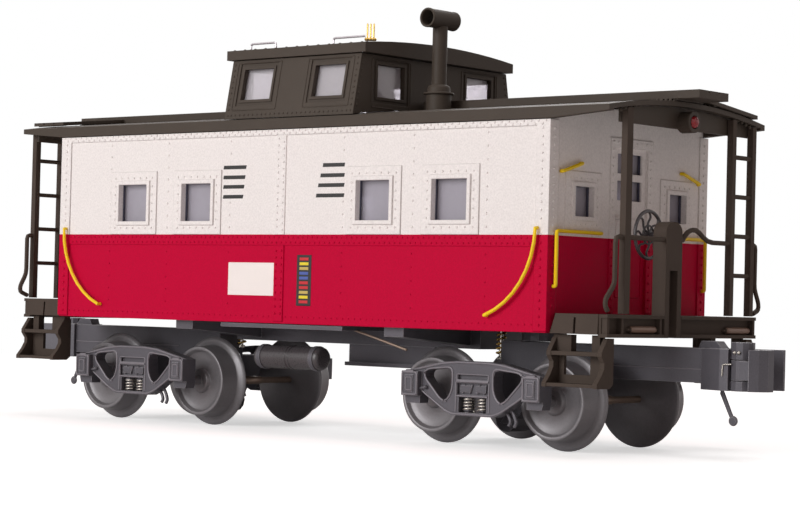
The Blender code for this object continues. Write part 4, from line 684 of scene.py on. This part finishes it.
STRIPE_Z = np.array([0.0664, 0.0639, 0.0615, 0.0590])
LEFT_END, RIGHT_END = -0.0207, 0.0203
INNER_LEFT = np.array([-0.0127, -0.0130, -0.0133, -0.0136])
INNER_RIGHT = np.array([0.0131, 0.0124, 0.0117, 0.0111])
stripes = together(*[stripe(LEFT_END, end, height) for end, height in zip(INNER_LEFT, STRIPE_Z)],
                   *[stripe(end, RIGHT_END, height) for end, height in zip(INNER_RIGHT, STRIPE_Z)])
white_plate = board((-0.0181, 0.0343), (-0.0021, 0.0425), PLATE)
black_plate = board((0.0054, 0.0320), (0.0102, 0.0445), PLATE)
bar_heights = np.linspace(0.0435, 0.0330, 10)
BAR_ORDER = np.array([0, 3, 1, 2, 2, 0, 0, 1, 3, 0])
BAR_X, BAR_HALF = (0.0063, 0.0093), 0.0004
both("stripes", stripes, "car", "body", "print_black", SIDES)
both("plate_white", white_plate, "car", "body", "print_white", SIDES)
both("plate_black", black_plate, "car", "body", "print_black", SIDES)
for number in range(len(BAR_COLOURS)):
    bars = together(*[board((BAR_X[0], height - BAR_HALF), (BAR_X[1], height + BAR_HALF), PRINT,
                            WALL_Y + PLATE) for height in bar_heights[BAR_ORDER == number]])
    both(f"plate_bars_{number + 1}", bars, "car", "body", f"print_bar_{number + 1}", SIDES)

# %% [markdown]
# ## Wheels
# A railway wheel is turned on a lathe: a flange behind, a slightly coned tread, a rim, a dished
# web and a hub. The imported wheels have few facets, so finer ones stand for them. The profile is
# read from the flange's back to the axle's end.

# %% Turned wheelsets
WHEEL_PROFILE = np.array([
    (14.30, 1.60), (14.30, 11.15), (14.45, 11.45), (14.75, 11.60), (15.05, 11.45), (15.35, 10.6),
    (15.50, 9.55), (15.80, 9.30), (20.45, 9.00), (20.66, 8.90), (20.70, 8.80), (20.70, 8.20),
    (20.62, 8.05), (19.75, 7.70), (19.62, 7.50), (19.40, 6.00), (19.35, 4.20), (19.50, 3.30),
    (20.10, 3.00), (20.30, 2.80), (20.35, 2.40), (20.35, 1.15), (21.60, 1.00),
    (25.10, 1.00), (25.20, 0.85)]) * MM


def wheelset(centre):
    """Two wheels: the profile, and the profile with every distance along the axle negated."""
    return mirrored(lambda side: lathe(WHEEL_PROFILE * (side, 1.0), "y", centre, 96))


AXLE_PROFILE = np.array([(-14.4, 0.85), (-3.0, 0.85), (-2.6, 1.1), (2.6, 1.1), (3.0, 0.85),
                         (14.4, 0.85)]) * MM
for end in ENDS:
    for place in ("inner", "outer"):
        low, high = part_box(f"wheelset_{place}_{end}")
        middle = tuple((low + high) / 2)
        body = f"wheels_{place}_{end}"
        piece(body, wheelset(middle), body, "wheel", smooth=50.0,
              stands_for=(f"wheelset_{place}_{end}",))
        piece(f"axle_{place}_{end}", lathe(AXLE_PROFILE, "y", middle, 20), body, "wheel", "axle")

# %% [markdown]
# ## Truck details
# The side frames are castings, with a raised bead round each opening and two coil springs under
# the bolster. The coils are bright wire: a helix of even pitch, closed at the ends.

# %% Coil springs
TRUCK_X = 0.0574
FRAME_Y = (0.0242, 0.0274)


def coil(x, y, low, high, radius, wire, turns):
    """A helix: radius * (cos t, sin t) across, rising from low to high, closed at the ends."""
    share = np.linspace(0.0, 1.0, int(turns * 16) + 1)
    turn = 2.0 * math.pi * turns * share
    rise = low + wire + (high - low - 2 * wire) * share
    path = np.stack((x + radius * np.cos(turn), y + radius * np.sin(turn), rise), -1)
    return pipe(path, wire, 8, (0.0, 0.0, 1.0))


def truck_springs(side):
    """The two coils of one side frame, in the mouth under the bolster."""
    y = side * (FRAME_Y[0] + FRAME_Y[1]) / 2
    return together(*[coil(TRUCK_X + x, y, 0.00830, 0.01180, 0.00128, 0.00025, 4.0)
                      for x in (-0.00215, 0.00215)])


both("coil_springs", mirrored(truck_springs), "truck_", "steel")

# %% [markdown]
# ## Beads on the castings
# A casting's edges are thickened so that it doesn't crack, and they stand out as pale lines round
# every opening. They could be bevels of the solid. Here each is a thin pipe, half sunk into the
# face along the opening's own outline, because the crown of a pipe always catches some light. Its
# finish is also a lighter grey than the casting's, which is a painted highlight.

# %% Closed paths and hoops
OUTWARD = np.array([0.0, -1.0, 0.0])


def closed(corners, ease):
    """A closed path through corners, each rounded by a quadratic arc that starts ease away."""
    corners = np.asarray(corners, float)
    return rounded_path(np.concatenate((corners[-1:], corners, corners[:1])), ease)[1:-1]


def hoop(path, radius, across, sides=8):
    """A pipe along a closed path, path + radius * (cos t * side + sin t * across). The first
    ring comes again as the last, so the pipe joins up with itself."""
    along = np.roll(path, -1, 0) - np.roll(path, 1, 0)
    side = np.cross(along, across)
    side /= np.linalg.norm(side, axis=1, keepdims=True)
    turn = whole_turn(sides)[None, :, None]
    rings = path[:, None] + radius * (np.cos(turn) * side[:, None] + np.sin(turn) * across)
    return grid(np.concatenate((rings, rings[:1])))


def rectangle(half, low, high):
    """The corners of an upright rectangle, centred across."""
    return np.array([(-half, low), (half, low), (half, high), (-half, high)])


# %% Outlines on a side frame, in millimetres from the truck's middle
OPENING = np.array([(6.2, 18.5), (13.85, 17.8), (14.45, 16.3), (9.2, 10.95), (7.7, 10.95),
                    (6.2, 13.5)])
TOP_EDGE = np.array([(-20.0, 17.15), (-9.2, 19.5), (-4.7, 19.9), (4.7, 19.9), (9.2, 19.5),
                     (20.0, 17.15)])
FOOT_EDGE = np.array([(-15.2, 12.85), (-8.6, 8.85), (-6.1, 7.85), (6.1, 7.85), (8.6, 8.85),
                      (15.2, 12.85)])
SHELVES = np.array([(12.1, 4.6), (15.5, 4.8)])
BOX_U, BOX_FACE = 17.9, 28.9 * MM


def on_frame(outline, depth=FRAME_Y[1]):
    """(u, z) pairs in millimetres, as points on the right-hand frame at y = -depth."""
    return on_plane(np.asarray(outline, float) * MM + (TRUCK_X, 0.0), 1, -depth)


def rim(corners, ease, radius, grow=1.0, depth=FRAME_Y[1]):
    """A bead round an outline, which grows about the middle of its corners."""
    middle = np.mean(corners, axis=0)
    return hoop(on_frame(closed(middle + grow * (corners - middle), ease), depth), radius * MM,
                OUTWARD)


def bead(corners, ease, radius, depth=FRAME_Y[1]):
    """A bead along an open line."""
    return pipe(on_frame(rounded_path(corners, ease), depth), radius * MM, 8, OUTWARD)


# %% Beads, box lids and hooks of one side frame
frame_beads = together(
    rim(OPENING, 1.5, 0.27, 1.07), rim(OPENING * (-1.0, 1.0), 1.5, 0.27, 1.07),
    rim(rectangle(4.55, 15.85, 17.15), 0.4, 0.17, 1.05),
    bead(TOP_EDGE, 1.5, 0.3), bead(FOOT_EDGE, 1.0, 0.26),
    *[bead([(-reach, height), (0.0, height), (reach, height)], 0.5, 0.28)
      for height, reach in SHELVES],
    mirrored(lambda side: bead([(side * 4.9, 8.4), (side * 4.9, 11.0), (side * 4.9, 15.3)], 0.5,
                               0.22)),
    *[bead([(start, 12.7), (start + 0.35, 13.7), (start + 0.7, 14.8)], 0.3, 0.24, 0.0268)
      for start in (-3.4, -1.2, 1.0, 3.0)])


def box_lid(side):
    """The rim, the raised panel and the hinge on one axle box."""
    middle = (side * BOX_U, 0.0)
    return together(
        rim(rectangle(2.2, 11.9, 17.1) + middle, 0.5, 0.26, 1.0, BOX_FACE),
        rim(rectangle(0.85, 12.9, 15.9) + middle, 0.3, 0.16, 1.0, BOX_FACE + 0.0003),
        bead(np.array([(-1.2, 17.3), (0.0, 17.35), (1.2, 17.3)]) + middle, 0.3, 0.45,
             BOX_FACE - 0.0003))


hooks = together(
    bead([(8.0, 9.3), (9.2, 7.9), (9.8, 6.5), (9.2, 5.7)], 0.6, 0.42, 0.0252),
    bead([(9.4, 10.0), (10.7, 8.2), (11.4, 6.4), (10.8, 5.5)], 0.6, 0.42, 0.0252),
    bead([(-15.9, 13.2), (-15.0, 13.5), (-13.8, 13.7)], 0.4, 0.34, 0.0278),
    copies(rivet(0.00055, 0.0006), on_frame([(-13.8, 13.7)], 0.0277),
           TOWARDS_RIGHT))


# %% Both side frames of both trucks


def about_truck(shape):
    """The shape turned by half about the truck's own middle: x becomes 2 * TRUCK_X - x."""
    points, quads, tris = scaled(shape, HALF_TURN)
    return points + (2.0 * TRUCK_X, 0.0, 0.0), quads, tris


# Beads and box lids take the lighter bead finish, a painted highlight.
for name, shape, material in (("frame_beads", frame_beads, "bead"),
                              ("box_lids", mirrored(box_lid), "bead"),
                              ("hooks", hooks, "cast")):
    both(name, together(shape, about_truck(shape)), "truck_", "cast", material)

# %% [markdown]
# ## Under the floor
# A screw with a spring hangs from the floor beside each truck. The air reservoir is a turned tank
# with two bands round its middle, held by straps, and a thin rod runs from it along the floor.

# %% Screws with springs
SCREW_X, SCREW_Y = 0.0455, -0.0015
SCREW_PROFILE = np.array([(20.1, 0.3), (20.15, 0.95), (20.8, 0.95), (20.9, 0.5),
                          (27.4, 0.5)]) * MM
screw = lathe(SCREW_PROFILE, "z", (SCREW_X, SCREW_Y, 0.0), 12)
screw_spring = coil(SCREW_X, SCREW_Y, 0.0209, 0.0273, 0.00110, 0.00023, 5.5)
both("screw", screw, "car", "steel")
both("screw_spring", screw_spring, "car", "steel", "brass")

# %% Air reservoir
TANK_Y, TANK_Z = -0.0235, 0.0190
TANK_PROFILE = np.array([
    (-14.6, 0.3), (-14.6, 2.1), (-14.45, 2.45), (-14.1, 2.75), (-13.6, 2.88), (-13.0, 2.9),
    (-3.95, 2.9), (-3.9, 3.04), (-3.45, 3.04), (-3.4, 2.9), (-2.95, 2.9), (-2.9, 3.04),
    (-2.45, 3.04), (-2.4, 2.9), (5.7, 2.9), (6.3, 2.88), (6.8, 2.75), (7.15, 2.45), (7.3, 2.1),
    (7.3, 0.3)]) * MM
piece("air_tank", lathe(TANK_PROFILE, "x", (0.0, TANK_Y, TANK_Z), 64), "car",
      SLOTS["air_reservoir"], "tank", smooth=40.0, stands_for=("air_reservoir",))


def strap(x):
    """A band round the tank: a ring of rectangular section, worked out as a lathe."""
    section = np.array([(x - 0.0006, 0.00285), (x - 0.0006, 0.00312), (x + 0.0006, 0.00312),
                        (x + 0.0006, 0.00285)])
    return turned_ring(section, "x", (0.0, TANK_Y, TANK_Z))


straps = together(strap(-0.0126), strap(0.0052))
rod = pipe([(0.0190, -0.0262, 0.0266), (0.0250, -0.0262, 0.0251), (0.0362, -0.0262, 0.0222)],
           0.0003, 8, (0.0, 1.0, 0.0))
piece("tank_straps", straps, "car", "cast")
piece("brake_rod", rod, "car", "cast", "axle")

# %% [markdown]
# ## Brake wheels and bars
# The hand wheel on each platform has a round rim and eight thin wavy spokes. A spoke is a pipe
# whose path leans to and fro on its way out. The bars on the beam are rods with round ends. Their
# brown is painted shade, and their lighter edges are wear.

# %% Brake wheels
ACROSS_END = np.array([1.0, 0.0, 0.0])
HAND_WHEEL = np.array([0.0903, -0.0051, 0.0505])


def around(radius, angles):
    """Points on a circle round the hand wheel's middle: radius * (cos, sin) across and up."""
    return HAND_WHEEL + np.stack((0.0 * angles, radius * np.cos(angles),
                                  radius * np.sin(angles)), -1)


SPOKE_FROM, SPOKE_LENGTH, SPOKE_SWING = 0.0009, 0.0044, 0.17


def spoke(angle):
    """From hub to rim, while the angle swings by the sine of the way."""
    share = np.linspace(0.0, 1.0, 9)
    swing = SPOKE_SWING * np.sin(2.0 * math.pi * share)
    return pipe(around(SPOKE_FROM + SPOKE_LENGTH * share, angle + swing), 0.00027, 6, ACROSS_END)


circle = whole_turn(48)
HUB_PROFILE = np.array([(-0.8, 0.3), (-0.75, 0.9), (0.5, 1.1), (0.6, 0.6), (3.4, 0.6)]) * MM
hand_wheel = together(
    hoop(around(0.00548, circle), 0.00042, ACROSS_END, 10),
    hoop(around(0.00215, circle[::2]), 0.00026, ACROSS_END, 6),
    lathe(HUB_PROFILE, "x", HAND_WHEEL, 20),
    *[spoke(math.pi / 2 + number * math.pi / 4) for number in range(8)])
way = np.linspace(-1.0, 1.0, 15)
ROD_X, ROD_Z, ROD_REACH, ROD_RADIUS = 0.0962, 0.0287, 0.0056, 0.00085
beam_bars = together(*[
    pipe([(ROD_X, y + ROD_REACH * share, ROD_Z) for share in way],
         ROD_RADIUS * np.sqrt(1.0 - 0.96 * way ** 10), 10, (0.0, 0.0, 1.0))
    for y in (-0.0155, 0.0243)])
both("hand_wheel", hand_wheel, "car", SLOTS["brake_wheel_a"], "tank",
     stands_for=("brake_wheel_",))
both("beam_bars", beam_bars, "car", "trim", "bar")

# %% [markdown]
# ## Doors
# The door in each end has two long panels below its panes. Their mouldings are hoops, as the
# beads on the trucks are.

# %% Door mouldings
LEAF_X = WALL_X - 0.0004


def end_rim(y, half, low, high, ease, radius, x):
    """A bead round an upright rectangle on a plane of constant x, sizes in millimetres."""
    flat = closed(rectangle(half, low, high) + (y, 0.0), ease) * MM
    return hoop(on_plane(flat, 0, x), radius * MM, ACROSS_END)


both("door_mouldings", mirrored(lambda side: end_rim(side * 3.1, 2.1, 36.0, 54.5, 0.4, 0.2,
                                                     LEAF_X)), "car", "body")

# %% [markdown]
# ## Cupola and roof
# The cupola's sides lean inwards, so the place of a rivet on them depends on its height. Each
# window has a border outside its frame. Small studs stand along the cupola's roof and, in a
# close row, under the edges of the running boards, which they carry.

# %% Rivets and borders of the cupola
CUPOLA_X, CUPOLA_FOOT_Y, CUPOLA_FOOT_Z = 21.7, 31.9, 76.5
CUPOLA_LEAN, CUPOLA_RISE = 3.3, 17.2
CUPOLA_SIDE_X, CUPOLA_END_Y = 12.1, 17.4


def lean(height):
    """The cupola's half width in millimetres at a height: a straight line, foot to head."""
    return CUPOLA_FOOT_Y - (height - CUPOLA_FOOT_Z) * CUPOLA_LEAN / CUPOLA_RISE


def on_cupola(pairs):
    """(x, z) pairs in millimetres as points on the leaning right-hand side."""
    return on_plane(pairs, 1, -lean(pairs[:, 1])) * MM


side_studs = lattices(([-20.7, 20.7], row(79.6, 92.6, 1.5)), (row(-19.5, 19.5, 1.5), [79.6]))
corner_height = row(79.6, 92.6, 1.5)
corner_y = lean(corner_height) - 1.0
end_studs = np.column_stack((np.concatenate((-corner_y, corner_y)), np.tile(corner_height, 2)))
head = rivet(0.00028, 0.00020)
studs = together(
    copies(head, on_cupola(side_studs), TOWARDS_RIGHT),
    copies(head, on_plane(end_studs, 0, CUPOLA_X) * MM, TOWARDS_END))


def border(side):
    """One border on the leaning side and one on the end."""
    return together(
        hoop(on_cupola(closed(rectangle(7.5, 80.9, 93.0) + (side * CUPOLA_SIDE_X, 0.0), 0.3)),
             0.00017, OUTWARD, 6),
        end_rim(side * CUPOLA_END_Y, 7.3, 80.9, 92.8, 0.3, 0.17, CUPOLA_X * MM))


for name, shape in (("cupola_studs", studs), ("cupola_borders", mirrored(border))):
    piece(name, together(shape, scaled(shape, HALF_TURN)), "car", "roof")

# %% Studs on the roofs
CUPOLA_EDGE_Y, CUPOLA_EDGE_TOP = 0.0284, 0.0963
ROOF_CROWN, ROOF_DROP, ROOF_HALF = 81.1, 5.4, 32.5


def roof_height(y):
    """The roof's height in millimetres: the crown less the drop times the square of the way
    out."""
    return ROOF_CROWN - ROOF_DROP * (np.abs(y) / ROOF_HALF) ** 2


edge_studs = lattice(row(-0.0215, 0.0215, 0.0036), [-CUPOLA_EDGE_Y, CUPOLA_EDGE_Y])
board_studs = lattices((np.concatenate((row(-95.0, -25.0, 1.5), row(25.0, 95.0, 1.5))),
                        [-6.3, 6.3]), ([-96.9, 96.9], row(-27.0, 27.0, 1.8)))
roof_studs = together(
    copies(rivet(0.0004, 0.0003), on_plane(edge_studs, 2, CUPOLA_EDGE_TOP)),
    copies(rivet(0.0005, 0.0007, 6),
           on_plane(board_studs, 2, roof_height(board_studs[:, 1])) * MM))
piece("roof_studs", roof_studs, "car", "roof")

# %% [markdown]
# ## Smoke jack and antenna
# The smoke jack is a turned pipe with a collar, and a short open pipe lies across its top. The
# antenna is three thin brass prongs on a low foot.

# %% Smoke jack
JACK_X, JACK_Y, JACK_HEAD_Z = 0.0312, -0.0105, 0.1032
JACK_PROFILE = np.array([
    (80.2, 3.1), (84.55, 3.1), (84.65, 3.65), (84.8, 3.78), (85.0, 3.78), (85.15, 3.65),
    (85.25, 2.9), (86.3, 2.85), (86.7, 2.65), (86.95, 2.25), (87.1, 1.85), (101.4, 1.85)]) * MM
MOUTH_PROFILE = np.array([
    (-4.8, 1.8), (-5.05, 1.85), (-5.2, 2.0), (-5.2, 2.25), (-5.05, 2.4), (-4.6, 2.4), (-4.1, 2.32),
    (4.1, 2.32), (4.6, 2.4), (5.05, 2.4), (5.2, 2.25), (5.2, 2.0), (5.05, 1.85), (4.8, 1.8)]) * MM
jack = together(lathe(JACK_PROFILE, "z", (JACK_X, JACK_Y, 0.0), 40),
                turned_ring(MOUTH_PROFILE, "y", (JACK_X, JACK_Y, JACK_HEAD_Z)))
piece("smoke_pipe", jack, "car", "roof", stands_for=("smoke_jack",))

# %% Antenna
ANTENNA = np.array([0.0212, -0.0250, 0.0971])
PRONG_STEP = np.array([0.00060, 0.00050, 0.0])
FOOT_PROFILE = np.array([(-0.1, 0.6), (0.3, 0.75), (0.6, 0.6), (0.7, 0.3)]) * MM
prongs = together(*[
    together(lathe(np.array([(0.0, 0.22), (3.9, 0.22), (4.1, 0.16), (4.18, 0.06)]) * MM, "z",
                   ANTENNA + step * PRONG_STEP, 10),
             lathe(FOOT_PROFILE, "z", ANTENNA + step * PRONG_STEP, 12))
    for step in (-1.0, 0.0, 1.0)])
piece("antenna_prongs", prongs, "car", SLOTS["antenna"], stands_for=("antenna",))

# %% [markdown]
# ## Couplers
# The drawbar is folded from two plates, and the joint between them shows as a line on its side.
# A bent spring wire lies on the knuckle, with the bright ends of its pin above it.

# %% Drawbar joint and knuckle wire
DRAWBAR_HALF, JOINT_Z = 0.00442, 0.0201
joint_x = np.linspace(0.0635, 0.1052, 3)
joint = mirrored(lambda side: pipe([(x, side * DRAWBAR_HALF, JOINT_Z) for x in joint_x],
                                   0.00018, 6, (0.0, 0.0, 1.0)))
wire = pipe(rounded_path([(0.1124, -0.0075, 0.0189), (0.1126, -0.0075, 0.0215),
                          (0.1149, -0.0075, 0.0216)], 0.0004), 0.00018, 6, OUTWARD)
pins = copies(rivet(0.00045, 0.00045, 10), [(0.1155, -0.0073, 0.0242), (0.1166, -0.0073, 0.0242)],
              TOWARDS_RIGHT)
eye_turn = whole_turn(20)
PIN_EYE = np.array([0.1110, 0.0, 0.0086])
eye = hoop(PIN_EYE + 0.00085 * np.stack((np.cos(eye_turn), 0.0 * eye_turn, np.sin(eye_turn)), -1),
           0.00032, OUTWARD)
shank = pipe([(0.1078, 0.0, 0.0150), (0.1092, 0.0, 0.0122), (0.1106, 0.0, 0.0094)], 0.00048, 10,
             OUTWARD)
# The joint line takes the lighter bead finish, a painted highlight.
both("drawbar_joint", joint, "truck_", "cast", "bead")
both("knuckle_wire", together(wire, pins), "truck_", "cast", "steel")
both("pin_eye", together(eye, shank), "truck_", "cast")

# %% [markdown]
# ## The room round the toy
# The floor is a plain pale sheet. What the camera sees of it is lifted to white, but it still
# catches the toy's shadow. The sky is white wherever it is seen, also through the windows, and
# nearly white in reflections, and it lights the toy softly. The key lamp stands to the left of
# the camera, a weaker one above, and one behind lights the far side.

# %% Floor
FLOOR_HALF, FLOOR_GLOW = 2.0, 0.55
FADE_START, FADE_END = 0.3, 0.7
PLAIN_WHITE = (1.0, 1.0, 1.0, 1.0)


def pale_floor():
    """A sheet four metres wide. Its faint glow is for the camera alone, and away from the toy
    the camera sees plain white: the share grows with the distance from the middle."""
    mesh = bpy.data.meshes.new("floor")
    mesh.from_pydata([(x * FLOOR_HALF, y * FLOOR_HALF, 0)
                      for x, y in ((-1, -1), (1, -1), (1, 1), (-1, 1))], [], [(0, 1, 2, 3)])
    floor = bpy.data.objects.new("floor", mesh)
    tree, principled = shader("pale_sheet", Base_Color=(0.88, 0.88, 0.88, 1.0), Roughness=0.9,
                              Specular_IOR_Level=0.1)
    glow = add(tree, "Emission", {"Color": PLAIN_WHITE, "Strength": FLOOR_GLOW})
    seen = add(tree, "LightPath").outputs["Is Camera Ray"]
    nothing = add(tree, "Emission", {"Strength": 0.0})
    chosen = add(tree, "MixShader", {0: seen, 1: nothing.outputs[0], 2: glow.outputs[0]})
    lit = add(tree, "AddShader", {0: principled.outputs[0], 1: chosen.outputs[0]})
    place = add(tree, "TexCoord").outputs["Object"]
    away = add(tree, "VectorMath", {0: place}, operation="LENGTH").outputs["Value"]
    far = add(tree, "MapRange", {"Value": away, "From Min": FADE_START, "From Max": FADE_END},
              interpolation_type="SMOOTHSTEP").outputs[0]
    white = add(tree, "Emission", {"Color": PLAIN_WHITE, "Strength": 1.0})
    faded = add(tree, "MixShader", {0: calc(tree, "MULTIPLY", far, seen), 1: lit.outputs[0],
                                    2: white.outputs[0]})
    tree.links.new(faded.outputs[0], tree.nodes["Material Output"].inputs["Surface"])
    mesh.materials.append(FINISH["pale_sheet"])
    bpy.context.scene.collection.objects.link(floor)
    print("floor:", 2 * FLOOR_HALF, "m wide")


pale_floor()

# %% Sky
SKY_LIGHT, MIRRORED = 0.27, 0.8
WARM_SHADE = (1.0, 0.81, 0.75, 1.0)


def white_sky():
    """Strength one and white where it is seen directly or through glass, and nearly that in
    reflections. As light on the toy it is weaker and a little warm, which browns the shaded end
    wall."""
    world = bpy.data.worlds.new("white_sky")
    world.use_nodes = True
    tree = world.node_tree
    path = add(tree, "LightPath").outputs
    seen = calc(tree, "MAXIMUM", path["Is Camera Ray"], path["Is Transmission Ray"])
    seen = calc(tree, "MAXIMUM", seen, calc(tree, "MULTIPLY", path["Is Glossy Ray"], MIRRORED))
    strength = calc(tree, "MULTIPLY_ADD", seen, 1.0 - SKY_LIGHT, SKY_LIGHT)
    tree.links.new(strength, tree.nodes["Background"].inputs["Strength"])
    colour = blended(tree, seen, WARM_SHADE, PLAIN_WHITE)
    tree.links.new(colour, tree.nodes["Background"].inputs["Color"])
    bpy.context.scene.world = world
    print("sky: strength", SKY_LIGHT, "as light on the toy")


white_sky()

# %% Lamps
TOY_MIDDLE = np.array([0.0, 0.0, 0.05])


def lamp(name, place, size, power):
    """A square soft light at a place, turned towards the toy's middle."""
    data = bpy.data.lights.new(name, "AREA")
    data.shape, data.size, data.energy = "SQUARE", size, power
    thing = bpy.data.objects.new(name, data)
    away = np.asarray(place, float) - TOY_MIDDLE
    away /= np.linalg.norm(away)
    right = np.cross((0.0, 0.0, 1.0), away)
    right /= np.linalg.norm(right)
    matrix = np.eye(4)
    matrix[:3] = np.column_stack((right, np.cross(away, right), away, place))
    thing.matrix_world = Matrix(matrix.tolist())
    bpy.context.scene.collection.objects.link(thing)
    print("lamp", name, power, "W")


lamp("key", (-0.35, -1.50, 0.50), 0.9, 15.4)
lamp("top", (0.2, 0.1, 1.5), 0.8, 4.0)
lamp("fill", (-0.7, 1.35, 0.55), 0.9, 8.0)
